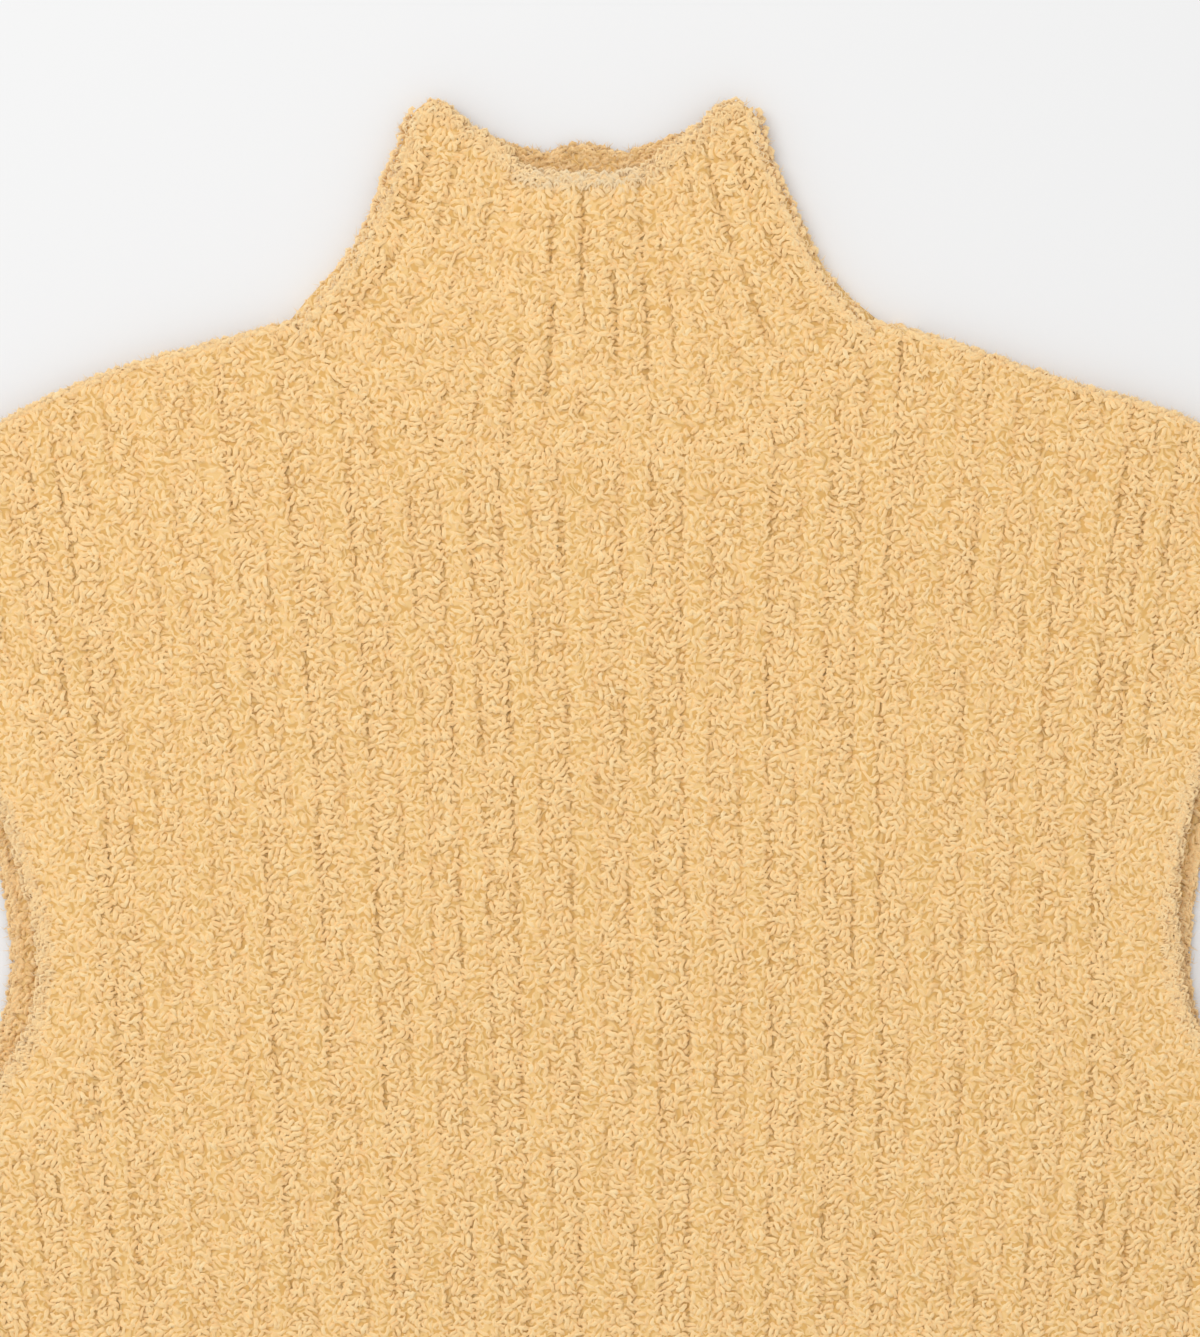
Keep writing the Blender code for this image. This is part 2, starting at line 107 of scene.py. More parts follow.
def linear(code):
    """An sRGB hex colour as Blender's linear values."""
    parts = [int(code[i : i + 2], 16) / 255 for i in (0, 2, 4)]
    return [c / 12.92 if c <= 0.04045 else ((c + 0.055) / 1.055) ** 2.4 for c in parts] + [1.0]


def add(tree, kind, links=None, settings=None, **values):
    """Adds a node: its inputs' values by name or number, its own settings, and links into it."""
    node = tree.nodes.new(kind)
    for name, value in (settings or {}).items():
        setattr(node, name, value)
    for name, value in values.items():
        node.inputs[name.replace("_", " ")].default_value = value
    for name, source in (links or {}).items():
        tree.links.new(source, node.inputs[name])
    return node


print("butter yellow in linear light:", [round(c, 3) for c in linear("ECC388")])

# %% [markdown]
# ## Floor and light
#
# The vest lies on plain pale paper. The light is a white tent: an even glow from all round,
# and one large soft panel overhead, a little towards the collar's left, so that each loop
# has a lit and a shaded side but nothing throws a hard shadow.

# %% A paper floor
FLOOR_HALF = 3000.0  # in mm, like all lengths here
FLOOR_DROP = 0.3  # the floor lies this far under the vest's flat underside
PAPER = "F0F0F0"

paper = bpy.data.materials.new("matt_white_paper")
paper.use_nodes = True
paper_shader = paper.node_tree.nodes["Principled BSDF"]
paper_shader.inputs["Base Color"].default_value = linear(PAPER)
paper_shader.inputs["Roughness"].default_value = 1.0
paper_shader.inputs["Specular IOR Level"].default_value = 0.0

corners = [(-1, -1), (1, -1), (1, 1), (-1, 1)]
floor_mesh = bpy.data.meshes.new("paper_floor")
floor_mesh.from_pydata(
    [(a * FLOOR_HALF * MM, b * FLOOR_HALF * MM, -FLOOR_DROP * MM) for a, b in corners],
    [],
    [(0, 1, 2, 3)],
)
floor = bpy.data.objects.new("paper_floor", floor_mesh)
floor_mesh.materials.append(paper)
bpy.context.scene.collection.objects.link(floor)
floor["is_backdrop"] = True

# %% An even glow and one soft panel
GLOW = 0.72
PANEL_POWER = 29.0
PANEL_SIZE = 2200.0
PANEL_PLACE = (-900.0, 1100.0, 2300.0)

scene = bpy.context.scene
scene.view_settings.view_transform = "Standard"
world = bpy.data.worlds.new("white_tent")
world.use_nodes = True
world.node_tree.nodes["Background"].inputs["Color"].default_value = (1, 1, 1, 1)
world.node_tree.nodes["Background"].inputs["Strength"].default_value = GLOW
scene.world = world

panel_light = bpy.data.lights.new("soft_panel", "AREA")
panel_light.shape = "SQUARE"
panel_light.size = PANEL_SIZE * MM
panel_light.energy = PANEL_POWER
panel = bpy.data.objects.new("soft_panel", panel_light)
panel.location = Vector(PANEL_PLACE) * MM
aim = Vector((0, picture_middle, 0)) * MM - panel.location
panel.rotation_euler = aim.to_track_quat("-Z", "Y").to_euler()
scene.collection.objects.link(panel)
print(f"panel light {panel.location.length:.2f} m away")

# %% [markdown]
# ## The vest's lines
#
# The solids were made from a few short tables: the run of the ribs, the armholes, shoulders,
# the collar's sides and its free edge. The shells follow the same tables at a finer step, so
# they are written out here again, each with its columns named.

# %% Tables


def table(columns, *rows):
    """A short table whose columns are read by name."""
    return np.rec.fromrecords([tuple(map(float, row)) for row in rows], names=columns)


HEM_HALF = 252.0
SEAM_GAP = 0.3
FRONT_WALL, RIB_RISE, BACK_WALL, BAND_WALL = 3.2, 1.6, 4.0, 4.0
COLLAR_THICK = 2 * BACK_WALL + SEAM_GAP
BAND_THICK = 2 * BAND_WALL + SEAM_GAP
LOFT_MOST, LOFT_REACH, SWELL_REACH = 2.7, 45.0, 12.0
RIBS_EACH_SIDE = 27
RIB_CROWDING = 1.0e-4
COLLAR_HALF_RIBS = 7.5

RIB_RUN = table(
    "height, pitch, middle",
    (0, 10.05, 3),
    (230, 10.1, 3),
    (330, 10.6, 2),
    (435, 10.75, -1),
    (505, 11.2, -3),
    (570, 11.8, -4),
    (700, 12.6, -4),
)
SHOULDER_END = (253, 553, 34)
UNDERARM = (252.7, 268, 37)
SIDES = {"left": -1, "right": 1}
FRONT_ARMHOLES = {
    -1: table(
        "x, height, strip",
        SHOULDER_END,
        (240, 524, 31),
        (215, 464, 30),
        (193, 411, 31),
        (185, 370, 30),
        (194, 326, 28.5),
        (222, 284, 35),
        UNDERARM,
    ),
    1: table(
        "x, height, strip",
        SHOULDER_END,
        (236, 524, 31),
        (215, 472, 27),
        (195, 415, 28.5),
        (187.5, 374, 34),
        (192, 344, 33),
        (219, 296, 36),
        UNDERARM,
    ),
}
back_armhole = table(
    "x, height, strip",
    SHOULDER_END,
    (240, 522, 31),
    (218, 462, 31),
    (199, 405, 32),
    (194.5, 370, 32),
    (201, 327, 32),
    (225, 287, 35),
    UNDERARM,
)
BACK_ARMHOLES = {-1: back_armhole, 1: back_armhole}
SHOULDERS = {  # each without its end at the collar
    -1: ((152, 600.5), (182, 592.5), (206, 583), (228, 571.5), SHOULDER_END[:2]),
    1: ((126, 604.5), (152, 596), (182, 586), (213, 577), (228, 571), SHOULDER_END[:2]),
}
COLLAR_SIDES = table(
    "height, left, right",
    (609, -121, 109),
    (618, -114.5, 99),
    (630, -104.5, 89),
    (642, -95.5, 83),
    (654, -89.5, 77.5),
    (666, -85.5, 71.5),
    (678, -80.5, 67),
    (694, -75, 62.5),
)
NECK = table("drop, power", (54.5, 2.7), (20.0, 3.0))
NECK_FRONT, NECK_BACK = NECK
RIM = table(
    "across, front, back",
    (-1.0, 4.0, 4.0),
    (-0.95, 1.0, 1.0),
    (-0.82, 1.0, 1.0),
    (-0.68, 9.5, 9.5),
    (-0.47, 17.0, 16.0),
    (-0.40, 25.0, 17.5),
    (-0.23, 27.5, 20.0),
    (0.0, 28.5, 15.5),
    (0.23, 28.0, 20.0),
    (0.37, 26.0, 17.0),
    (0.46, 20.5, 15.0),
    (0.68, 10.0, 10.0),
    (0.82, 1.0, 1.0),
    (0.95, 1.0, 1.0),
    (1.0, 4.0, 4.0),
)
COLLAR_RIBS = table(
    "number, at_seam, at_edge",
    (0, 0, 0),
    (1, 0.135, 0.18),
    (2, 0.265, 0.35),
    (3, 0.40, 0.45),
    (4, 0.53, 0.53),
    (5, 0.665, 0.62),
    (6, 0.80, 0.73),
    (7, 0.93, 0.87),
    (7.5, 1, 1),
)
COLLAR_DASHES = table(
    "line, low, high, open",
    (0, 616, 662, 1),
    (-1, 630, 648, 1),
    (-1, 579, 616, 1),
    (1, 592, 628, 1),
    (2, 586, 625, 1),
    (2, 632, 647, 1),
    (-2, 573, 598, 1),
    (-3, 568, 590, 0.6),
    (3, 596, 622, 0.6),
    (4, 572, 592, 0.6),
    (5, 650, 682, 0.8),
    (6, 636, 670, 0.9),
    (6, 602, 630, 0.8),
    (7, 656, 676, 0.7),
    (-6, 640, 675, 0.8),
    (-7, 646, 674, 0.7),
    (-7, 608, 632, 0.6),
)
TROUGHS = table(
    "x, height, half_length, half_width, lean, depth",
    (-37, 650, 26, 8, 0.10, 2.0),
    (19, 638, 34, 8, -0.05, 2.0),
    (1, 400, 30, 9, -0.20, 0.7),
    (0, 296, 22, 14, 0.0, 0.5),
)
SWELLS = table(
    "x, height, spread, rise",
    (-120, 470, 70, 0.5),
    (95, 380, 80, 0.5),
    (-60, 210, 90, 0.4),
    (130, 140, 80, 0.5),
    (-160, 90, 70, -0.5),
    (40, 60, 70, -0.4),
    (-9, 600, 40, 0.4),
)
print(f"{2 * RIBS_EACH_SIDE + 1} ribs on the body, {int(2 * COLLAR_HALF_RIBS)} on the collar")

# %% [markdown]
# ## Curves and the outline
#
# A smooth curve through a table's rows is a run of cubic pieces. Moving a curve sideways gives
# the free edge of an armhole's strip from its seam, and stringing side, armhole, shoulder and
# neckline together gives a panel's outline.

# %% Curve helpers


def distance_along(line):
    """Distance along a line to each of its points."""
    return np.concatenate([[0], np.cumsum(np.linalg.norm(np.diff(line, axis=0), axis=1))])


def smooth_through(rows, count):
    """Points along a smooth curve through the rows, evenly spaced in the distance along them."""
    rows = np.array(rows.tolist())
    along = distance_along(rows[:, :2])
    slope = np.gradient(rows, along, axis=0)
    wanted = np.linspace(0, along[-1], count)
    first = np.clip(np.searchsorted(along, wanted, side="right") - 1, 0, len(rows) - 2)
    step = (along[first + 1] - along[first])[:, None]
    t = (wanted - along[first])[:, None] / step
    start, end = rows[first], rows[first + 1]
    leave, arrive = slope[first] * step, slope[first + 1] * step
    blend = t * t * (3 - 2 * t)
    return start * (1 - blend) + end * blend + leave * t * (1 - t) ** 2 - arrive * t * t * (1 - t)


def along_line(line, share):
    """The places at shares of a line's length, from 0 to 1."""
    along = distance_along(line)
    wanted = np.asarray(share) * along[-1]
    return np.stack([np.interp(wanted, along, column) for column in line.T], axis=-1)


def trimmed(line, distance):
    """The open line with a distance taken off each end."""
    share = distance / distance_along(line)[-1]
    return along_line(line, np.linspace(share, 1 - share, len(line)))


def to_right(line):
    """The directions to the right of an open line at each of its points, of any length."""
    along = np.gradient(line, axis=0)
    return np.column_stack([along[:, 1], -along[:, 0]])


def moved_sideways(line, distance):
    """The open line moved to its right by a distance, which may vary along it."""
    right = to_right(line)
    right /= np.linalg.norm(right, axis=1)[:, None]
    return line + right * np.reshape(distance, (-1, 1))


def inset(loop, distance):
    """The closed anticlockwise loop moved inwards by a distance, which may vary round it."""
    before = loop - np.roll(loop, 1, axis=0)
    before /= np.linalg.norm(before, axis=1)[:, None]
    after = np.roll(before, -1, axis=0)
    inwards = np.column_stack([-before[:, 1] - after[:, 1], before[:, 0] + after[:, 0]])
    inwards /= np.maximum((inwards**2).sum(axis=1) / 2, 0.5)[:, None]
    return loop + inwards * np.reshape(distance, (-1, 1))


def distance_to(x, h, lines):
    """Distance in the plane from each place to the nearest of the lines."""
    place = np.stack([x, h], axis=-1)
    nearest = np.full(np.shape(x), np.inf)
    for line in lines:
        for a, b in zip(line[:-1], line[1:]):
            span = b - a
            t = np.clip(((place - a) @ span) / (span @ span), 0, 1)
            gap = np.linalg.norm(place - a - t[..., None] * span, axis=-1)
            nearest = np.minimum(nearest, gap)
    return nearest


def is_inside(places, loop):
    """Which places lie inside the closed loop, by counting the edges that a level ray crosses."""
    x, h = places[:, 0], places[:, 1]
    crossed = np.zeros(len(places), int)
    for (ax, ah), (bx, bh) in zip(loop, np.roll(loop, -1, axis=0)):
        if ah != bh:
            meets = ax + (h - ah) * (bx - ax) / (bh - ah)
            crossed += ((ah > h) != (bh > h)) & (x < meets)
    return crossed % 2 == 1


# %% The lines of the vest


def collar_middle_and_half(height):
    """The middle of the collar at a height on its sides, and half its width there."""
    left = np.interp(height, COLLAR_SIDES.height, COLLAR_SIDES.left)
    right = np.interp(height, COLLAR_SIDES.height, COLLAR_SIDES.right)
    return (left + right) / 2, (right - left) / 2


NECK_HEIGHT = COLLAR_SIDES.height[0]
NECK_MIDDLE, NECK_HALF = collar_middle_and_half(NECK_HEIGHT)
SAME_POINT = 0.2  # points of an outline that are nearer to each other are one


def neck_dip(across, neck):
    """How far the seam between a panel and the collar dips below the collar's sides."""
    return neck.drop * (1 - np.abs(across) ** neck.power)


def neck_curve(neck, count=61):
    """The neckline from right to left."""
    across = np.linspace(1, -1, count)
    return np.column_stack([NECK_MIDDLE + NECK_HALF * across, NECK_HEIGHT - neck_dip(across, neck)])


def armhole(rows, side, count=81):
    """The armhole's seam from shoulder to underarm, and the free edge of the strip sewn to it."""
    x, height, strip = smooth_through(rows, count).T
    seam = np.column_stack([x, height])
    edge = moved_sideways(seam, -strip)
    return seam * (side, 1), edge * (side, 1)


def shoulder(side, count=31):
    """The shoulder seam from the collar to the armhole."""
    neck_point = (NECK_HALF + side * NECK_MIDDLE, NECK_HEIGHT)
    rows = table("x, height", neck_point, *SHOULDERS[side])
    return smooth_through(rows, count) * (side, 1)


def side_seam(side, count=41):
    """The side seam from the hem to the underarm."""
    return np.linspace((side * HEM_HALF, 0), (side * UNDERARM[0], UNDERARM[1]), count)


def panel_outline(armholes, neck):
    """A panel's outline, anticlockwise from the left end of the hem."""
    stretches = (
        np.linspace((-HEM_HALF, 0), (HEM_HALF, 0), 81),
        side_seam(1),
        armhole(armholes[1], 1)[0][::-1],
        shoulder(1)[::-1],
        neck_curve(neck),
        shoulder(-1),
        armhole(armholes[-1], -1)[0],
        side_seam(-1)[::-1],
    )
    loop = np.concatenate(stretches)
    return loop[np.linalg.norm(loop - np.roll(loop, 1, axis=0), axis=1) > SAME_POINT]


front_outline = panel_outline(FRONT_ARMHOLES, NECK_FRONT)
back_outline = panel_outline(BACK_ARMHOLES, NECK_BACK)
print("points round the front:", len(front_outline), "and the back:", len(back_outline))

# %% [markdown]
# The solids reach as far as the yarn does. Here the ground of each piece stops a little short
# of that at its free edges, and the loops laid on it make up the rest. Where a panel is sewn to
# the collar or a strip it runs on a little into that piece, as the seam closes the gap there.

# %% Where the ground stops
LOOPS_OUT = 3.0
FREE_FROM = 4 * LOOPS_OUT  # a free edge is fully free at this distance from the nearest seam
INTO_SEAM = 2.6
OFF_CORNER, CORNER_REACH = 1.0, 8.0  # at a seam's ends the ground stops inside it instead


def ground_stops(outline, neck, armholes):
    """How free each point of a panel's outline is, 0 where it is sewn to another piece, and how
    far inside it the ground stops."""
    sewn = [neck_curve(neck), *(armhole(rows, side)[0] for side, rows in armholes.items())]
    free = np.clip(distance_to(*outline.T, sewn) / FREE_FROM, 0, 1)
    ends = np.array([line[end] for line in sewn for end in (0, -1)])
    off_end = np.linalg.norm(outline[:, None] - ends, axis=-1).min(axis=1)
    into = np.interp(off_end, (0, CORNER_REACH), (-OFF_CORNER, INTO_SEAM))
    return free, LOOPS_OUT * free - into * (1 - free)


front_free, front_stops = ground_stops(front_outline, NECK_FRONT, FRONT_ARMHOLES)
front_ground = inset(front_outline, front_stops)
back_ground = inset(back_outline, ground_stops(back_outline, NECK_BACK, BACK_ARMHOLES)[1])
print("the front's ground is", round(np.ptp(front_ground[:, 0]), 1), "mm wide")

# %% [markdown]
# ## How the front lies
#
# The front lies on the back along every seam and fold, and lifts off it by a few millimetres
# between them, because knitting has loft. Broad swells and a few soft troughs are added, as the
# photograph shows them at the collar and down the middle.

# %% The height of the front's inner face


def closed_edges():
    """The lines along which the front layer meets the back: sides, shoulders, collar and strips."""
    heights = COLLAR_SIDES.height
    lines = [np.column_stack([edge, heights]) for edge in (COLLAR_SIDES.left, COLLAR_SIDES.right)]
    for side, rows in FRONT_ARMHOLES.items():
        seam, edge = armhole(rows, side)
        lines += [side_seam(side, 3), shoulder(side, 9)]
        lines += [np.array([seam[0], edge[0]]), np.array([seam[-1], edge[-1]])]
    return lines


CLOSED_EDGES = closed_edges()


def front_inside(x, h):
    """z of the front layer's inner face, which lies on the back along its seams."""
    apart = distance_to(x, h, CLOSED_EDGES)
    lift = LOFT_MOST * (1 - np.exp(-((apart / LOFT_REACH) ** 2)))
    free = 1 - np.exp(-((apart / SWELL_REACH) ** 2))
    for swell in SWELLS:
        away = (x - swell.x) ** 2 + (h - swell.height) ** 2
        lift = lift + free * swell.rise * np.exp(-away / swell.spread**2)
    for trough in TROUGHS:
        along = h - trough.height
        across = (x - trough.x - trough.lean * along) / trough.half_width
        lift = lift - trough.depth * np.exp(-((along / trough.half_length) ** 4) - across**2)
    return BACK_WALL + SEAM_GAP + np.maximum(lift, 0)


# %% [markdown]
# ## Ribs and stitches
#
# The cloth is a wide rib: round columns of stitches with a tight furrow between them. One
# stitch is 4.9 mm high, read off the photograph from how its texture repeats. A rib is round
# on top and drops steeply into the furrow, and it swells a little at each stitch.

# %% The section of a rib, and the front's faces
STITCH = 4.9
STITCH_SWELL = 0.25
LOOPS_FILL = 0.75  # the share of a furrow's depth that crossing loops take up
FURROW_WIDTH, FURROW_SHADE, FURROW_CLOSED = 0.11, 0.5, 0.22
DASH_OPEN, DASH_WAVE, DASH_STITCH = 0.35, 0.22, 0.3  # the mean, and what varies it
DASH_LENGTHS = (11, 5.3)  # of the waves along a furrow, in mm to each radian
GROUND_BELOW = 0.1  # how far the ground lies under the loops' feet


def rib_section(place):
    """Height of a rib, 0 to 1, at a place across it counted from a furrow."""
    from_middle = np.abs(np.mod(place, 1) - 0.5) * 2
    return np.sqrt(1 - from_middle**3)


def loop_rise(rib, height, opened):
    """How far the loops' feet stand out: they fill the furrows, but for where these open."""
    filled = LOOPS_FILL * (1 - opened)
    stitches = STITCH_SWELL * np.cos(2 * np.pi * (height / STITCH + 0.5 * np.floor(rib)))
    return (RIB_RISE + stitches) * (filled + (1 - filled) * rib_section(rib))


def rib_x(number, height):
    """Where the front's rib of this number lies at a height."""
    pitch = np.interp(height, RIB_RUN.height, RIB_RUN.pitch)
    middle = np.interp(height, RIB_RUN.height, RIB_RUN.middle)
    return middle + pitch * (number - RIB_CROWDING * number**3)


def dashes(rib, height):
    """How open the furrow nearest to a place is, 0 to 1: in dashes, and at single stitches."""
    shift = np.random.default_rng(5).uniform(0, 2 * np.pi, (2, 128))
    line = np.mod(np.round(rib).astype(int) + 64, 128)
    long, short = (height / length + own[line] for length, own in zip(DASH_LENGTHS, shift))
    wave = np.sin(long) + np.sin(short)
    stitch = np.cos(2 * np.pi * height / STITCH + shift[0, line])
    return np.clip(DASH_OPEN + DASH_WAVE * wave + DASH_STITCH * stitch, 0, 1)


def rounded_off(past, reach):
    """How much of its height a face keeps at a distance past the start of its rounded edge."""
    return np.sqrt(np.clip(1 - (np.maximum(past, 0) / reach) ** 2, 0, 1))


def in_shadow(rib, opened):
    """How much less light a place gets for lying in a furrow, which is more where it is open."""
    from_furrow = (rib - np.round(rib)) / FURROW_WIDTH
    depth = FURROW_CLOSED + (1 - FURROW_CLOSED) * opened
    return FURROW_SHADE * np.exp(-(from_furrow**2)) * depth


def front_face(rib, height):
    """Where the loops' feet lie on the front, at a rib and a height."""
    x = rib_x(rib, height)
    z = front_inside(x, height) + FRONT_WALL + loop_rise(rib, height, dashes(rib, height))
    return np.stack([x, height, z], axis=-1)


print("rib pitch at the chest:", round(float(rib_x(1, 400.0) - rib_x(0, 400.0)), 1), "mm")

# %% The collar's faces
RIM_ROUND, RIM_STOPS = 1.6, 3.9  # the rim's rounding, and how far inside the rim it ends
PAST_FOLD = 16.0  # millimetres to each rib that a place lies beyond the fold
LITTLE_OPEN, OTHER_LINES = 0.6, 40  # short dashes everywhere, like other furrows of the body's
DASH_FADES = 3.0  # a long dash opens and closes over so many mm
BACK_RISE = 0.5  # of the loops inside the back layer, in shares of the front's


def collar_rib_place(rib, column):
    """How far across the collar each of its ribs lies, from -1 to 1, by one of the columns."""
    return np.sign(rib) * np.interp(np.abs(rib), COLLAR_RIBS.number, COLLAR_RIBS[column])


def seam_clearance(across):
    """Height that keeps the collar off the panels by its seam's gap, where the neckline slopes."""
    drop, power = NECK_FRONT
    slope = drop * power * np.abs(across) ** (power - 1) / NECK_HALF
    return SEAM_GAP * np.sqrt(1 + slope**2)


def collar_flat(rib, share, layer, bulge=0.0, turn=COLLAR_THICK / 2):
    """x and h on the collar at a rib, a share of its height, and a layer: 1 front, 0 back."""
    height = NECK_HEIGHT + (LENGTH - NECK_HEIGHT) * share
    middle, half = collar_middle_and_half(height)
    half = half - LOOPS_OUT
    at_seam, at_edge = (collar_rib_place(rib, column) for column in ("at_seam", "at_edge"))
    across = at_seam * (1 - share) + at_edge * share
    x = middle + (half - COLLAR_THICK / 2) * across + turn * bulge
    across = np.clip((x - middle) / half, -1, 1)
    dips = []
    for neck, rim in ((NECK_FRONT, RIM.front), (NECK_BACK, RIM.back)):
        at_rim = np.interp(across, RIM.across, rim)
        dips.append(neck_dip(across, neck) * (1 - share) + at_rim * share)
    h = height - np.where(layer > 0.5, *dips) + seam_clearance(across) * (1 - share)
    return x, h - RIM_STOPS * share


def collar_dashes(rib, height):
    """How open a furrow of the collar is: wide open in its long dashes, and a little elsewhere."""
    opened = LITTLE_OPEN * dashes(rib + OTHER_LINES, height)
    for dash in COLLAR_DASHES:
        from_end = np.minimum(height - dash.low, dash.high - height)
        inside = np.clip(from_end / DASH_FADES + 0.5, 0, 1)
        opened = np.maximum(opened, dash.open * inside * (np.round(rib) == dash.line))
    return opened


def collar_front_face(rib, share):
    """Where the loops' feet lie on the collar's front."""
    x, h = collar_flat(rib, share, np.ones_like(rib))
    past_fold = PAST_FOLD * np.maximum(np.abs(rib) - COLLAR_HALF_RIBS, 0)
    past_rim = (LENGTH - NECK_HEIGHT) * np.maximum(share - 1, 0)
    x = x + np.sign(rib) * past_fold
    rib_space = np.diff(COLLAR_RIBS.at_edge) / np.diff(COLLAR_RIBS.at_seam)
    squeezed = np.interp(np.abs(rib), COLLAR_RIBS.number[:-1] + 0.5, np.minimum(rib_space, 1))
    rise = loop_rise(rib, h, collar_dashes(rib, h))
    half_wall = (FRONT_WALL + rise * (1 - share + share * squeezed)) / 2
    z = front_inside(x, h) + half_wall * (1 + rounded_off(past_rim, RIM_ROUND + 1))
    return np.stack([x, h, z * rounded_off(past_fold, COLLAR_THICK / 2 + 1)], axis=-1)


def collar_back_inside(rib, share):
    """The inner face of the collar's back layer, which shows above the front's edge."""
    x, h = collar_flat(rib, share, np.zeros_like(rib), turn=0.0)
    rise = BACK_RISE * loop_rise(rib, h, dashes(rib, h))
    return np.stack([x, h, BACK_WALL + rise], axis=-1)


# %% The faces of an armhole's strip
BAND_PUFF = 0.5  # the strip is a little thicker along its middle than at its seam
BAND_ROUNDED = 0.07  # the share of its width over which it is rounded


def band_lines(rows, side):
    """The strip's sewn line and its free edge."""
    seam, edge = armhole(rows, side)
    edge = moved_sideways(edge, side * LOOPS_OUT)
    seam = moved_sideways(seam, -side * SEAM_GAP)
    return trimmed(seam, BAND_THICK / 2 + LOOPS_OUT), trimmed(edge, BAND_THICK / 2 + LOOPS_OUT)


def band_face(lines, front):
    """A function for a strip's outer face, by the share across it and the share along it."""
    seam, edge = lines
    width = np.linalg.norm(edge - seam, axis=1).mean()

    def face(across, along):
        start, end = along_line(seam, along), along_line(edge, along)
        place = start + (end - start) * across[..., None]
        x, h = place[..., 0], place[..., 1]
        half_wall = (BAND_WALL + BAND_PUFF * np.sin(np.pi * np.clip(across, 0, 1))) / 2
        past = width * (across - 1 + BAND_ROUNDED)
        z = half_wall * (1 + rounded_off(past, width * BAND_ROUNDED + 1))
        return np.stack([x, h, z + (front_inside(x, h) if front else 0)], axis=-1)

    return face


# %% [markdown]
# ## Shells
#
# A flat piece can be cut out of the plane by a constrained triangulation: the outline goes in
# as edges, the places where the ribs need points go in as points, and the result is lifted to
# its height. It is closed below by a plainer face. A tube is simpler: a grid of sections that
# meets itself both ways. Each shell gets a flat map as seen from above, its underside beside it.

# %% From points to a mesh
BAKE_MAP = "OFBake"
MAP_WIDE, MAP_HIGH = 700.0, 760.0  # what the flat map covers, in mm


def flat_map(mesh):
    """Lays the mesh out as seen from above, with what faces down in the map's other half."""
    layer = mesh.uv_layers.new(name=BAKE_MAP)
    count = len(mesh.loops)
    corner = np.empty(count, np.int32)
    mesh.loops.foreach_get("vertex_index", corner)
    points = np.empty(3 * len(mesh.vertices), np.float32)
    mesh.vertices.foreach_get("co", points)
    place = points.reshape(-1, 3)[corner, :2] / MM
    normal = np.empty(3 * len(mesh.polygons), np.float32)
    mesh.polygons.foreach_get("normal", normal)
    size = np.empty(len(mesh.polygons), np.int32)
    mesh.polygons.foreach_get("loop_total", size)
    down = np.repeat(normal.reshape(-1, 3)[:, 2] < 0, size)
    u = (place[:, 0] / MAP_WIDE + 0.5) / 2 + 0.5 * down
    v = place[:, 1] / MAP_HIGH + 0.5
    layer.uv.foreach_set("vector", np.stack([u, v], axis=-1).astype(np.float32).ravel())


def new_piece(name, points, faces, material):
    """One mesh object from points in x, h and z. faces is a list, or an array of triangles."""
    placed = (np.asarray(points, float) - (0, LENGTH / 2, 0)) * MM
    placed[:, 2] = np.maximum(placed[:, 2], 0)
    mesh = bpy.data.meshes.new(name)
    if isinstance(faces, list):
        mesh.from_pydata(placed.tolist(), [], faces)
    else:
        mesh.vertices.add(len(placed))
        mesh.vertices.foreach_set("co", placed.astype(np.float32).ravel())
        mesh.loops.add(faces.size)
        mesh.loops.foreach_set("vertex_index", faces.astype(np.int32).ravel())
        mesh.polygons.add(len(faces))
        mesh.polygons.foreach_set("loop_start", np.arange(0, faces.size, 3, dtype=np.int32))
        mesh.update(calc_edges=True)
    mesh.materials.append(material)
    mesh.shade_smooth()
    piece = bpy.data.objects.new(name, mesh)
    bpy.context.scene.collection.objects.link(piece)
    return piece


def turned_out(piece):
    """Makes a closed shell's faces all look outwards."""
    shape = bmesh.new()
    shape.from_mesh(piece.data)
    bmesh.ops.recalc_face_normals(shape, faces=shape.faces)
    shape.to_mesh(piece.data)
    shape.free()
    flat_map(piece.data)
    return piece


# %% Filling an outline
EDGE_ROUND, EDGE_TUCK = 0.6, 0.3  # a shell's edge bulges so far, and its foot is tucked under


def filled(loop, spots):
    """Triangles that fill a closed loop, with points at the spots."""
    places = [Vector(p) for p in loop] + [Vector(p) for p in spots]
    found = delaunay_2d_cdt(places, [], [list(range(len(loop)))], 0, 0.001, True)
    made, faces, sources, of_loop = found[0], found[2], found[3], found[5]
    faces = [face for face, of in zip(faces, of_loop) if of]
    used = sorted({i for face in faces for i in face})
    number = {old: new for new, old in enumerate(used)}
    points = np.array([made[i] for i in used])
    given = [min(sources[i]) if sources[i] else -1 for i in used]
    return points, [[number[i] for i in face] for face in faces], given


def grid_spots(loop, step):
    """A staggered grid of points well inside a loop."""
    low, high = loop.min(axis=0), loop.max(axis=0)
    rows = []
    for i, h in enumerate(np.arange(low[1] + step / 2, high[1], step)):
        x = np.arange(low[0] + step / 2 * (1 + i % 2), high[0], step)
        rows.append(np.column_stack([x, np.full(len(x), h)]))
    return well_inside(np.concatenate(rows), loop, step / 3)


def well_inside(spots, loop, margin):
    """Those of the spots that lie inside a loop by a margin."""
    spots = spots[is_inside(spots, loop)]
    from_edge = distance_to(spots[:, 0], spots[:, 1], [np.concatenate([loop, loop[:1]])])
    return spots[from_edge > margin]


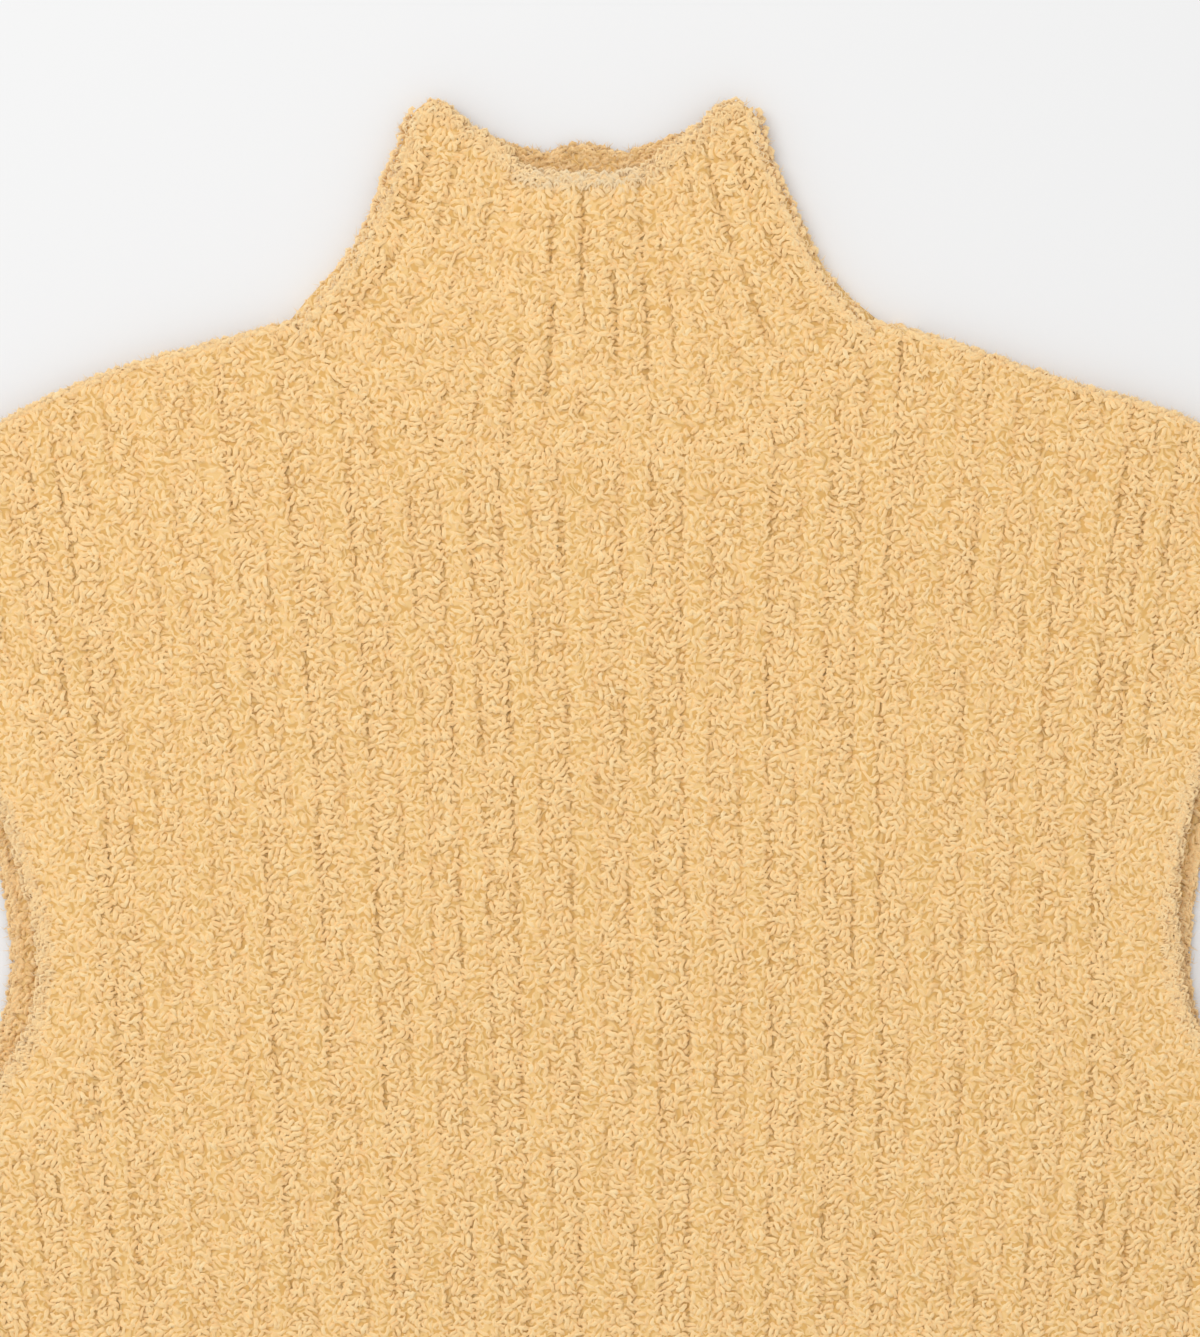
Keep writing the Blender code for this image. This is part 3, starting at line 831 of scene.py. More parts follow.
def panel_shell(name, outline, spots, upper, lower, below_step, material):
    """A flat piece with a rounded edge, between the faces upper(x, h) and lower(x, h)."""
    edge = inset(outline, EDGE_ROUND)
    top, top_faces, given = filled(edge, spots)
    ring = sorted((source, i) for i, source in enumerate(given) if 0 <= source < len(edge))
    ring = [i for _, i in ring]
    nose = inset(top[ring], -EDGE_ROUND)
    foot = inset(top[ring], EDGE_TUCK - EDGE_ROUND)
    base, base_faces, given = filled(foot, grid_spots(foot, below_step))

    first_nose, first_base = len(top), len(top) + len(nose)
    at_foot = {source: first_base + i for i, source in enumerate(given) if source < len(foot)}
    points = [
        np.column_stack([top, upper(*top.T)]),
        np.column_stack([nose, lower(*nose.T) + FRONT_WALL / 2]),
        np.column_stack([base, lower(*base.T)]),
    ]
    faces = top_faces + [[first_base + i for i in reversed(face)] for face in base_faces]
    for i, start in enumerate(ring):
        j = (i + 1) % len(ring)
        faces.append([ring[j], start, first_nose + i, first_nose + j])
        faces.append([first_nose + j, first_nose + i, at_foot[i], at_foot[j]])
    return turned_out(new_piece(name, np.concatenate(points), faces, material))


def ring_shell(name, grid, material):
    """A closed shell from a grid of points that meets itself in both directions."""
    rows, columns = grid.shape[:2]
    number = np.arange(rows * columns).reshape(rows, columns)
    on, down = np.roll(number, -1, axis=1), np.roll(number, -1, axis=0)
    faces = np.stack([number, on, np.roll(on, -1, axis=0), down], axis=-1).reshape(-1, 4)
    return turned_out(new_piece(name, grid.reshape(-1, 3), faces.tolist(), material))


# %% [markdown]
# ## The ground of the knitting
#
# The yarn is a wool and cotton mix, spun so that a soft strand curls off its core all along.
# Between the loops one looks down on that core: the same butter yellow, painted darker as the
# shade that lies between the loops, so it reads as mustard. Wool refracts light a little more
# than glass does, but so many fibres scatter it that the cloth is quite matt. A picture of the
# knitting could be laid on it, but a pattern worked out from noise has no edge and no repeat:
# smooth noise cut into bands runs in curls as the strands do, and its low parts are painted
# darker still, as shade between the strands. Its scale is the yarn's own thickness, 1.9 mm.

# %% Knitted wool ground
GROUND_SPACING = 1.9
GROUND_BANDS = 38.0  # how many radians of light and dark the noise runs through
GROUND_RELIEF = 0.5  # how high the strands of the pattern stand, in mm
# Painted shade: the ground shows only between the loops, so both colours are its butter yellow in
# shade. The deeper one is for the pattern's low parts.
GROUND_PAINTED_DEEP_SHADE, GROUND_PAINTED_SHADE = "E0B16A", "F0C98A"
WOOL_IOR, WOOL_ROUGHNESS, WOOL_GLOSS = 1.54, 0.95, 0.2


def matt_wool(name):
    """A material finished as matt wool, its node tree, its shader and the places on the piece."""
    material = bpy.data.materials.new(name)
    material.use_nodes = True
    shader = material.node_tree.nodes["Principled BSDF"]
    shader.inputs["Roughness"].default_value = WOOL_ROUGHNESS
    shader.inputs["IOR"].default_value = WOOL_IOR
    shader.inputs["Specular IOR Level"].default_value = WOOL_GLOSS
    place = add(material.node_tree, "ShaderNodeTexCoord")
    return material, material.node_tree, shader, place.outputs["Object"]


ground, tree, shader, place = matt_wool("knitted_wool_ground")
curl_field = add(
    tree,
    "ShaderNodeTexNoise",
    {"Vector": place},
    Scale=1 / (3 * GROUND_SPACING * MM),
    Detail=1.0,
    Roughness=0.4,
)
banded = add(tree, "ShaderNodeMath", {0: curl_field.outputs["Fac"]}, {"operation": "MULTIPLY"})
banded.inputs[1].default_value = GROUND_BANDS
wave = add(tree, "ShaderNodeMath", {0: banded.outputs[0]}, {"operation": "SINE"})
strand_height = add(
    tree,
    "ShaderNodeMapRange",
    {"Value": wave.outputs[0]},
    {"interpolation_type": "SMOOTHSTEP"},
    From_Min=-1.0,
    From_Max=0.6,
).outputs[0]
# Painted shade: the pattern's low parts take the deeper shaded colour.
shade = add(tree, "ShaderNodeMix", {0: strand_height}, {"data_type": "RGBA"})
shade.inputs[6].default_value = linear(GROUND_PAINTED_DEEP_SHADE)
shade.inputs[7].default_value = linear(GROUND_PAINTED_SHADE)
relief = add(
    tree, "ShaderNodeBump", {"Height": strand_height}, Strength=0.6, Distance=GROUND_RELIEF * MM
)
tree.links.new(shade.outputs[2], shader.inputs["Base Color"])
tree.links.new(relief.outputs[0], shader.inputs["Normal"])
print(ground.name, len(tree.nodes), "nodes")

# %% [markdown]
# ## The shells themselves
#
# The front takes points down each rib, in the furrow and on both flanks, at every second
# stitch. The back shows only at its edges and lies pressed flat.

# %% Front and back panels
RIB_PLACES = (0.0, 0.25, 0.75)
NEAREST_SPOT = EDGE_ROUND + 0.8  # how far inside the edge the first points lie
BELOW_STEP, BACK_STEP = 30.0, 20.0  # between points of the front's lower face, and the back's
RIB_STEP = 0.05  # how finely rib_x is looked up backwards


def rib_number(x, height):
    """The inverse of rib_x, at each of some places."""
    pitch = np.interp(height, RIB_RUN.height, RIB_RUN.pitch)
    wanted = (x - np.interp(height, RIB_RUN.height, RIB_RUN.middle)) / pitch
    ribs = np.arange(-RIBS_EACH_SIDE - 2, RIBS_EACH_SIDE + 2, RIB_STEP)
    return np.interp(wanted, ribs - RIB_CROWDING * ribs**3, ribs)


def front_spots():
    """Points down every rib of the front."""
    heights = np.arange(STITCH / 2, LENGTH, 2 * STITCH)
    numbers = np.arange(-RIBS_EACH_SIDE, RIBS_EACH_SIDE + 1)[:, None] + np.array(RIB_PLACES)
    ribs, levels = np.meshgrid(numbers.ravel(), heights)
    spots = np.column_stack([rib_x(ribs, levels).ravel(), levels.ravel()])
    return well_inside(spots, front_ground, NEAREST_SPOT)


front_shell = panel_shell(
    "front_knit",
    front_ground,
    front_spots(),
    lambda x, h: front_face(rib_number(x, h), h)[:, 2] - GROUND_BELOW,
    front_inside,
    BELOW_STEP,
    ground,
)
back_shell = panel_shell(
    "back_knit",
    back_ground,
    grid_spots(back_ground, BACK_STEP),
    lambda x, h: 0 * x + BACK_WALL,
    lambda x, h: 0 * x,
    BACK_STEP,
    ground,
)
for shell in (front_shell, back_shell):
    print(shell.name, len(shell.data.polygons), "faces")

# %% [markdown]
# ## Collar and strips
#
# The collar is a tube that lies folded at its sides: front face, fold, back face and the other
# fold make one ring of points, and the rings climb the outside, turn over the free edge and go
# down the inside. The strips are tubes too, longer and plain.

# %% The collar's shell
COLLAR_ROWS = 30
COLLAR_LINES = 7  # furrows either side of the middle one
COLLAR_BACK_POINTS = 46
INNER_TURN = 0.5  # how far the inner face reaches into the folds
FOLD_STEPS = 5
RIM_TURNS = (30, 60, 90, 120, 150)  # degrees over the rim, from its outer face


def fold_turn():
    """How far out each step round a fold lies, and its layer's share, from the front down."""
    angles = np.radians(np.linspace(90, -90, FOLD_STEPS + 2)[1:-1])
    return list(zip(np.cos(angles), (1 + np.sin(angles)) / 2))


def collar_places():
    """The points round the collar: across the front, round a fold, back, and round the other."""
    side, last = COLLAR_HALF_RIBS, COLLAR_LINES
    ribs = [n + place for n in range(-last, last) for place in RIB_PLACES]
    ribs = [-side, *ribs, last, side]
    rows = [(rib, 0, 1) for rib in ribs]
    rows += [(side, bulge, layer) for bulge, layer in fold_turn()]
    rows += [(rib, 0, 0) for rib in np.linspace(side, -side, COLLAR_BACK_POINTS)]
    rows += [(-side, -bulge, layer) for bulge, layer in reversed(fold_turn())]
    return table("rib, bulge, layer", *rows)


def collar_ring(share, inner):
    """The points round the collar at a share of its height, on its outer or its inner face."""
    places = collar_places()
    turn = INNER_TURN if inner else COLLAR_THICK / 2
    x, h = collar_flat(places.rib, share, places.layer, places.bulge, turn)
    if inner:
        z = BACK_WALL + (front_inside(x, h) - BACK_WALL) * places.layer
        back = collar_back_inside(places.rib, np.full(len(x), share))[:, 2] - GROUND_BELOW
        z = np.where(places.layer == 0, back, z)
    else:
        front = collar_front_face(places.rib, np.full(len(x), share))[:, 2] - GROUND_BELOW
        z = np.where(places.layer == 1, front, COLLAR_THICK * places.layer)
    return np.column_stack([x, h, z])


def collar_shell():
    shares = np.linspace(0, 1, COLLAR_ROWS)
    outer = [collar_ring(share, inner=False) for share in shares]
    inner = [collar_ring(share, inner=True) for share in shares[::-2]]
    rim = []
    for turn in np.radians(RIM_TURNS):
        weight = (1 + math.cos(turn)) / 2
        lifted = (0, RIM_ROUND * math.sin(turn), 0)
        rim.append(outer[-1] * weight + inner[0] * (1 - weight) + lifted)
    return ring_shell("collar_knit", np.array(outer + rim + inner), ground)


collar = collar_shell()
print(collar.name, len(collar.data.polygons), "faces")

# %% The strips' shells
STRIP_SECTION = table(  # once round a strip: across it, and from its outer face to its inner
    "share, depth",
    (0, 0),
    (0.25, -0.1),
    (0.5, -0.12),
    (0.75, -0.1),
    (0.93, 0.05),
    (1, 0.5),
    (0.97, 0.95),
    (0.5, 1),
    (0, 1),
)


def band_layer(rows, side, face):
    """One layer of the strip round an armhole: a row of points across it at each place along it."""
    seam, edge = band_lines(rows, side)
    columns = []
    for share, depth in STRIP_SECTION:
        place = seam + (edge - seam) * share
        columns.append(np.column_stack([place, face(*place.T, depth)]))
    return np.stack(columns, axis=1)


def band_fold(start, end, before):
    """The sections of a strip round the fold between its two layers."""
    outwards = (start - before)[:, :2].mean(axis=0)
    outwards /= np.linalg.norm(outwards)
    reach = np.abs(start[:, 2] - end[:, 2])[:, None] / 2
    sections = []
    for bulge, layer in fold_turn():
        section = start * layer + end * (1 - layer)
        section[:, :2] += reach * bulge * outwards
        sections.append(section)
    return sections


def front_strip(x, h, depth):
    return front_inside(x, h) + BAND_WALL * (1 - depth)


def back_strip(x, h, depth):
    return np.maximum(BAND_WALL * np.minimum(depth, 1), 0) + 0 * x


def band_shell(name, side):
    front = band_layer(FRONT_ARMHOLES[side], side, front_strip)
    back = band_layer(BACK_ARMHOLES[side], side, back_strip)[::-1]
    underarm = band_fold(front[-1], back[0], front[-2])
    shoulder_end = band_fold(back[-1], front[0], back[-2])
    return ring_shell(name, np.array(list(front) + underarm + list(back) + shoulder_end), ground)


bands = {name: band_shell(f"armband_{name}_knit", side) for name, side in SIDES.items()}
print("strip faces:", [len(band.data.polygons) for band in bands.values()])

# %% [markdown]
# ## How the strands lie
#
# Seen from above, looped yarn is a maze. Strands of one width wind about with a thin dark line
# between them, because the loops push each other aside until they fill the room. Such a maze
# grows out of noise: keep only waves of the strands' own spacing, sharpen them, and do it a few
# times over. Down the open furrows the noise is pushed under, so that no strand crosses them.
# A knitted stitch has two legs, so the strands lie a little under half a stitch apart, 2.2 mm.

# %% Waves of one spacing
STRAND_SPACING = 2.2
MAZE_STEP = 0.45
MAZE_SHAPE = (1680, 1344)  # rows up the vest, columns across it
MAZE_LOW = np.array([-302.0, -30.0])  # x and h of its first corner
MAZE_ROUNDS, MAZE_SHARPEN, MAZE_SPREAD, MAZE_SMOOTH = 3, 1.6, 0.5, 0.45
FURROW_BLUR, FURROW_PUSH, FURROW_WOBBLE = 0.6, 4.0, 0.4
WOBBLE_LENGTHS = (1.9, 3.1)  # mm up the furrow to each radian
FURROW_POINTS = 300  # along each furrow of the collar
STRAND_LEVEL = -0.3  # the maze is higher than this on a strand

cycles = np.hypot(
    np.fft.fftfreq(MAZE_SHAPE[0], MAZE_STEP)[:, None], np.fft.rfftfreq(MAZE_SHAPE[1], MAZE_STEP)
)


def passed(field, share_kept):
    """The field with only a share of each of its waves kept."""
    return np.fft.irfft2(np.fft.rfft2(field) * share_kept, s=MAZE_SHAPE)


def open_furrows():
    """Where the furrows of the front and the collar lie open, on the maze's grid."""
    opened = np.zeros(MAZE_SHAPE)
    for line in range(-RIBS_EACH_SIDE, RIBS_EACH_SIDE + 1):
        h = np.arange(0, NECK_HEIGHT, MAZE_STEP)
        spots = np.column_stack([rib_x(line, h), h])
        spots = spots[is_inside(spots, front_outline)]
        stretches = [(spots, dashes(np.full(len(spots), line), spots[:, 1]))]
        if abs(line) < COLLAR_HALF_RIBS:
            ribs = np.full(FURROW_POINTS, line)
            spots = collar_front_face(ribs, np.linspace(0, 1, FURROW_POINTS))[:, :2]
            stretches.append((spots, collar_dashes(ribs, spots[:, 1])))
        for spots, amount in stretches:
            fine, broad = (spots[:, 1] / length for length in WOBBLE_LENGTHS)
            wobble = np.sin(fine + line) + np.sin(broad + 2 * line)
            cells = ((spots - MAZE_LOW) / MAZE_STEP).T
            columns = np.round(cells[0] + FURROW_WOBBLE * wobble / MAZE_STEP).astype(int)
            np.maximum.at(opened, (np.round(cells[1]).astype(int), columns), amount)
    peak = MAZE_STEP / (FURROW_BLUR * math.sqrt(2 * math.pi))
    return passed(opened, np.exp(-2 * (np.pi * FURROW_BLUR * cycles) ** 2)) / peak


def grow_maze():
    """High along the strands and low between them."""
    kept = np.exp(-(((cycles * STRAND_SPACING - 1) / MAZE_SPREAD) ** 2))
    pushed = FURROW_PUSH * open_furrows()
    field = np.random.default_rng(7).normal(size=MAZE_SHAPE)
    for _ in range(MAZE_ROUNDS):
        field = passed(field, kept)
        field = np.tanh(MAZE_SHARPEN * field / field.std() - pushed)
    return passed(field, np.exp(-((MAZE_SMOOTH * cycles * STRAND_SPACING) ** 4)))


# %% Slopes and bends of the maze
maze = grow_maze()
rise_h, rise_x = np.gradient(maze, MAZE_STEP)
bend_xh, bend_xx = np.gradient(rise_x, MAZE_STEP)
bend_hh = np.gradient(rise_h, MAZE_STEP, axis=0)
MAZE_FORM = np.stack([rise_x, rise_h, bend_xx, bend_xh, bend_hh], axis=-1).astype(np.float32)
covering = float((maze > STRAND_LEVEL).mean())
print("share of the cloth that strands cover:", round(covering, 2))
LEAST_BEND, MOST_MOVE = 0.2, 0.5  # below such a bend a place just climbs, by mm a step


def form_at(places):
    """The maze's slopes and bends at places in x and h. It repeats beyond its edges."""
    cells = (places - MAZE_LOW) / MAZE_STEP
    first = np.floor(cells).astype(int)
    x, h = np.moveaxis(cells - first, -1, 0)[..., None]
    column, row = first[..., 0] % MAZE_SHAPE[1], first[..., 1] % MAZE_SHAPE[0]
    column_on, row_on = (column + 1) % MAZE_SHAPE[1], (row + 1) % MAZE_SHAPE[0]
    low = MAZE_FORM[row, column] * (1 - x) + MAZE_FORM[row, column_on] * x
    high = MAZE_FORM[row_on, column] * (1 - x) + MAZE_FORM[row_on, column_on] * x
    return low * (1 - h) + high * h


def onto_strand(places, times):
    """Moves places sideways to the middle of their strand. Also gives the way it runs there."""
    for _ in range(times):
        rise_x, rise_h, bend_xx, bend_xh, bend_hh = np.moveaxis(form_at(places), -1, 0)
        along = 0.5 * np.arctan2(2 * bend_xh, bend_xx - bend_hh)
        way = np.stack([np.cos(along), np.sin(along)], axis=-1)
        over = np.stack([-way[..., 1], way[..., 0]], axis=-1)
        slope = rise_x * over[..., 0] + rise_h * over[..., 1]
        bend = bend_xx * over[..., 0] ** 2 + bend_hh * over[..., 1] ** 2
        bend = bend + 2 * bend_xh * over[..., 0] * over[..., 1]
        to_crest = -slope / np.minimum(bend, -LEAST_BEND)
        move = np.where(bend < -LEAST_BEND, to_crest, np.sign(slope))
        places = places + over * np.clip(move, -MOST_MOVE, MOST_MOVE)[..., None]
    return places, way


# %% [markdown]
# ## The loops of the yarn
#
# What one sees of this cloth is thousands of short curls, each 5 to 6 mm of a 2 mm strand that
# leaves the ground, bends round and goes back in. Fur tools or instanced curves could lay them,
# but hairs don't reach an exported mesh. Here every curl is a walk of six points along a strand
# of the maze, swept to a soft oval and joined with its neighbours in one mesh. It is only ever
# seen from outside, so a low roof of two faces does. Curls are tried all over a face, and each
# is laid where its strand is still bare, so that they follow on end to end.

# %% The walk of a curl
CURL_POINTS = 6
CURL_STEP = (0.95, 1.3)
CURL_SINK = 0.25  # how far a curl's ends lie in the ground
CURL_ARCH = (0.12, 0.6)  # how high its middle stands over its ends
CURL_LEAN = (0.35, 0.65)  # the share of its length at which it stands highest
CURL_FULL = 0.8  # the lower, the fuller its arch
CURL_GETS = 1.6  # a curl whose ends are nearer to each other than this is left out
BARE_REACH = 0.75  # how far to each side of its middle line a laid curl covers


def curl_walks(places, dice, longer=1.0):
    """Walks of the curls that start at some places, in x and h, along the strands of the maze."""
    middle = CURL_POINTS // 2
    length = dice.uniform(*CURL_STEP, (len(places), 1)) * np.reshape(longer, (-1, 1))
    walks = np.zeros((len(places), CURL_POINTS, 2))
    start, start_way = onto_strand(places, 3)
    walks[:, middle] = start
    for side, ahead in ((1, range(middle + 1, CURL_POINTS)), (-1, range(middle - 1, -1, -1))):
        here, way = start, start_way * side
        for point in ahead:
            onwards, turned = onto_strand(here + way * length, 1)
            turned = turned * np.sign((turned * way).sum(axis=-1, keepdims=True) + 1e-9)
            here, way = onwards, turned
            walks[:, point] = here
    return walks


def still_bare(walks, dice):
    """Which of the walks to lay, so that each covers strand that no other has."""
    covered = np.zeros(maze.size, bool)
    cells = np.round((walks[:, 1:-1] - MAZE_LOW) / MAZE_STEP).astype(int)
    flat = cells[..., 1] % MAZE_SHAPE[0] * MAZE_SHAPE[1] + cells[..., 0] % MAZE_SHAPE[1]
    reach = int(BARE_REACH / MAZE_STEP) + 1
    beside = [
        row * MAZE_SHAPE[1] + column
        for row in range(-reach, reach + 1)
        for column in range(-reach, reach + 1)
        if math.hypot(row, column) * MAZE_STEP <= BARE_REACH
    ]
    marks = (flat[..., None] + beside) % covered.size
    gets = np.linalg.norm(walks[:, -1] - walks[:, 0], axis=1)
    laid = []
    for i in dice.permutation(np.nonzero(gets > CURL_GETS)[0]):
        if covered[flat[i]].sum() <= 1:
            covered[marks[i]] = True
            laid.append(i)
    return np.sort(laid)


def arched(count, dice):
    """How high each point of the curls stands, with the ends sunk in."""
    arch = dice.uniform(*CURL_ARCH, (count, 1))
    lean = dice.uniform(*CURL_LEAN, (count, 1))
    share = np.linspace(0, 1, CURL_POINTS)[None] ** (np.log(0.5) / np.log(lean))
    return arch * np.sin(np.pi * share) ** CURL_FULL - CURL_SINK


# %% From a walk to a strand
STRAND_FLATNESS = 0.72  # a soft strand presses down to an oval
ROOF = (-20, 90, 200)  # degrees round the strand


def upwards(lines):
    ups = np.zeros_like(lines)
    ups[..., 2] = 1
    return ups


def strands(lines, ups, radii):
    """Strands with pointed ends along many lines of the same number of points."""
    count, points = lines.shape[:2]
    along = np.gradient(lines, axis=1)
    along /= np.linalg.norm(along, axis=-1, keepdims=True) + 1e-9
    across = np.cross(along, ups)
    across /= np.linalg.norm(across, axis=-1, keepdims=True) + 1e-9
    up = np.cross(across, along) * STRAND_FLATNESS
    middle = slice(1, points - 1)
    rings = []
    for angle in np.radians(ROOF):
        offset = np.cos(angle) * across[:, middle] + np.sin(angle) * up[:, middle]
        rings.append(lines[:, middle] + radii[:, None, None] * offset)
    rings = np.stack(rings, axis=2).reshape(count, -1, 3)
    vertices = np.concatenate([lines[:, :1], rings, lines[:, -1:]], axis=1)

    last = 1 + 3 * (points - 2)
    faces = []
    for side in range(2):
        faces.append((0, 2 + side, 1 + side))
        for ring in range(points - 3):
            a, b = 1 + 3 * ring + side, 2 + 3 * ring + side
            faces += [(a, b, b + 3), (a, b + 3, a + 3)]
        faces.append((last - 3 + side, last - 2 + side, last))
    firsts = vertices.shape[1] * np.arange(count)
    faces = np.array(faces)[None] + firsts[:, None, None]
    return vertices.reshape(-1, 3), faces.reshape(-1, 3)


# %% [markdown]
# ## Yarn
#
# The strands that stand up are the palest part of the cloth. Light and shade are painted along
# each curl: cream at its top, as painted light that gets through the fibres, and deeper butter
# yellow as painted shade where the strand dives back in. Each curl has its own shade, because
# the yarn is spun from wool dyed unevenly. It's matt, with the soft edge bloom of loose fibres,
# and a fine grain of twisted fibres 0.4 mm apart. Each point of a curl carries two numbers: its
# shade, which is its own tone with the painted light and shade, and how pale it is painted at
# an edge, as painted light shining through thin loops.

# %% Looped wool yarn
# The ramp runs from painted shade, for the feet of curls and the furrows, through the yarn's own
# tones to painted light on the crowns.
YARN_SHADES = (  # from the foot of a dark curl to the crown of a pale one
    (0.0, "DDAE68"),
    (0.35, "F9D095"),
    (0.7, "FEDAA0"),
    (1.0, "FFE3B0"),
)
# The first is the pale colour that edges are painted towards, as painted light shining through thin
# loops and fibres. The second tints the sheen.
PALE_PAINTED_LIGHT, BLOOM_SHADE = "F3DFBC", "FFF0D0"
FIBRE_SPACING = 0.4
FIBRE_RELIEF = 0.3  # in mm
FIBRE_GRAIN = 0.12  # how far the fibres move the shade, either way

yarn, tree, shader, place = matt_wool("looped_wool_yarn")
shade_of = add(tree, "ShaderNodeAttribute", settings={"attribute_name": "shade"})
fibres = add(
    tree, "ShaderNodeTexNoise", {"Vector": place}, Scale=1 / (2 * FIBRE_SPACING * MM), Detail=2.0
).outputs["Fac"]
grain = add(
    tree,
    "ShaderNodeMapRange",
    {"Value": fibres},
    From_Min=0.25,
    From_Max=0.75,
    To_Min=-FIBRE_GRAIN,
    To_Max=FIBRE_GRAIN,
)
grained = add(
    tree,
    "ShaderNodeMath",
    {0: shade_of.outputs["Fac"], 1: grain.outputs[0]},
    {"operation": "ADD"},
)
ramp = add(tree, "ShaderNodeValToRGB", {"Fac": grained.outputs[0]})
while len(ramp.color_ramp.elements) < len(YARN_SHADES):
    ramp.color_ramp.elements.new(0.5)
for stop, (position, code) in zip(ramp.color_ramp.elements, YARN_SHADES):
    stop.position = position
    stop.color = linear(code)
# Painted light: the edge attribute mixes the colour towards the pale one, where light shines
# through thin loops.
painted_edge_light = add(tree, "ShaderNodeAttribute", settings={"attribute_name": "edge"})
paled = add(
    tree,
    "ShaderNodeMix",
    {0: painted_edge_light.outputs["Fac"], 6: ramp.outputs["Color"]},
    {"data_type": "RGBA"},
)
paled.inputs[7].default_value = linear(PALE_PAINTED_LIGHT)
relief = add(tree, "ShaderNodeBump", {"Height": fibres}, Strength=0.35, Distance=FIBRE_RELIEF * MM)
tree.links.new(paled.outputs[2], shader.inputs["Base Color"])
tree.links.new(relief.outputs[0], shader.inputs["Normal"])
shader.inputs["Sheen Weight"].default_value = 0.12
shader.inputs["Sheen Roughness"].default_value = 0.5
shader.inputs["Sheen Tint"].default_value = linear(BLOOM_SHADE)
print(yarn.name, len(tree.nodes), "nodes")

# %% [markdown]
# ## Where the curls go
#
# A face is a function of two numbers: the rib and the height, or the shares across and along a
# strip. Curls are tried at jittered places all over it. A walk in x and h is turned into steps
# of those two numbers, so every point of a curl is put back on the face and hugs the ribs.

# %% Curls on a face
LAYERS = table(
    "each, shift, lift, radius",  # each: the square millimetres to every curl that is tried
    (2.6, 0, 0.0, 0.95),
    (26.0, 97, 0.35, 0.62),
    (2.6, 41, 0.0, 0.95),
)
CLOSE, STRAY, INNER = LAYERS
CURL_RADII = (0.8, 1.15)  # of the layer's
CLOSE_FROM, LONGER = 225, 1.1  # below this height, out of the photograph, curls grow longer
NUDGE = 1e-3


def slopes(face, a, b):
    """How the place on a face moves in x and h with each of its two numbers."""
    by_a = (face(a + NUDGE, b) - face(a - NUDGE, b)) / (2 * NUDGE)
    by_b = (face(a, b + NUDGE) - face(a, b - NUDGE)) / (2 * NUDGE)
    return by_a[:, :2], by_b[:, :2], by_a[:, 0] * by_b[:, 1] - by_a[:, 1] * by_b[:, 0]


def tries_on(face, a_line, b_line, each, dice):
    """A jittered net over a face, thinned to one place for each so many square millimetres."""
    a_step, b_step = a_line[1] - a_line[0], b_line[1] - b_line[0]
    a, b = (grid.ravel() for grid in np.meshgrid(a_line, b_line))
    a = a + dice.uniform(-0.5, 0.5, len(a)) * a_step
    b = b + dice.uniform(-0.5, 0.5, len(b)) * b_step
    keep = dice.random(len(a)) < np.abs(slopes(face, a, b)[2]) * a_step * b_step / each
    return a[keep], b[keep]


def curls_on(face, a_line, b_line, inside, dice, layers=(CLOSE, STRAY)):
    """Curls all over a face: their lines, upward directions and radii, and a and b at each of
    their points. A layer's shift moves the maze, so that two layers don't match."""
    found = []
    for layer in layers:
        a, b = tries_on(face, a_line, b_line, layer.each, dice)
        places = face(a, b)[:, :2]
        longer = 1 + LONGER * np.clip((CLOSE_FROM - places[:, 1]) / CLOSE_FROM, 0, 1)
        walks = curl_walks(places + layer.shift, dice, longer)
        x, h = np.moveaxis(walks - layer.shift - places[:, None], -1, 0)
        by_a, by_b, area = slopes(face, a, b)
        a = a[:, None] + (x * by_b[:, 1:] - h * by_b[:, :1]) / area[:, None]
        b = b[:, None] + (h * by_a[:, :1] - x * by_a[:, 1:]) / area[:, None]
        kept = np.nonzero(inside(a, b).all(axis=1))[0]
        kept = kept[still_bare(walks[kept], dice)]
        a, b = a[kept], b[kept]
        lines = face(a, b)
        lines[..., 2] += arched(len(a), dice) + layer.lift
        radii = layer.radius * dice.uniform(*CURL_RADII, len(a))
        found.append((lines, upwards(lines), radii, a, b))
    return [np.concatenate([laid[i] for laid in found]) for i in range(5)]


# %% [markdown]
# At an edge the loops turn outwards and lie over each other like the pile of a towel. So an edge
# gets its own rows of loops: each starts somewhere on the rounded edge, bows out and comes back
# beside its start. Thick ones hide the ground, and thin ones make the frizzy outline.

# %% Loops along an edge
EDGE_POINTS = 5
# A loop to each step along the edge. It reaches out from near to far, is narrow to wide across,
# and starts up to so far inside the round. All are in mm.
EDGE_LOOPS = table(
    "step, radius, near, far, narrow, wide, inside",
    (0.62, 0.78, 0.6, 2.4, 1.4, 3.4, 2.2),
    (1.3, 0.33, 0.8, 2.6, 1.2, 3.2, 1.2),
    (0.42, 0.6, 1.6, 3.4, 2.0, 3.8, 5.0),
)
PILE, FRIZZ, TERRY = EDGE_LOOPS
EDGE_QUARTER = 1.2  # from the top of an edge to its outermost line, in mm over the round
EDGE_BELOW = 2.2  # loops start down to here, in mm over the round
LOOP_RISE = (-0.3, 0.7)  # how steeply a loop stands up, to its reach outwards
LOOP_LEAN = 0.8  # how far it leans along the edge at most, to half its width
LOOP_RADII = (0.75, 1.2)  # of its kind's


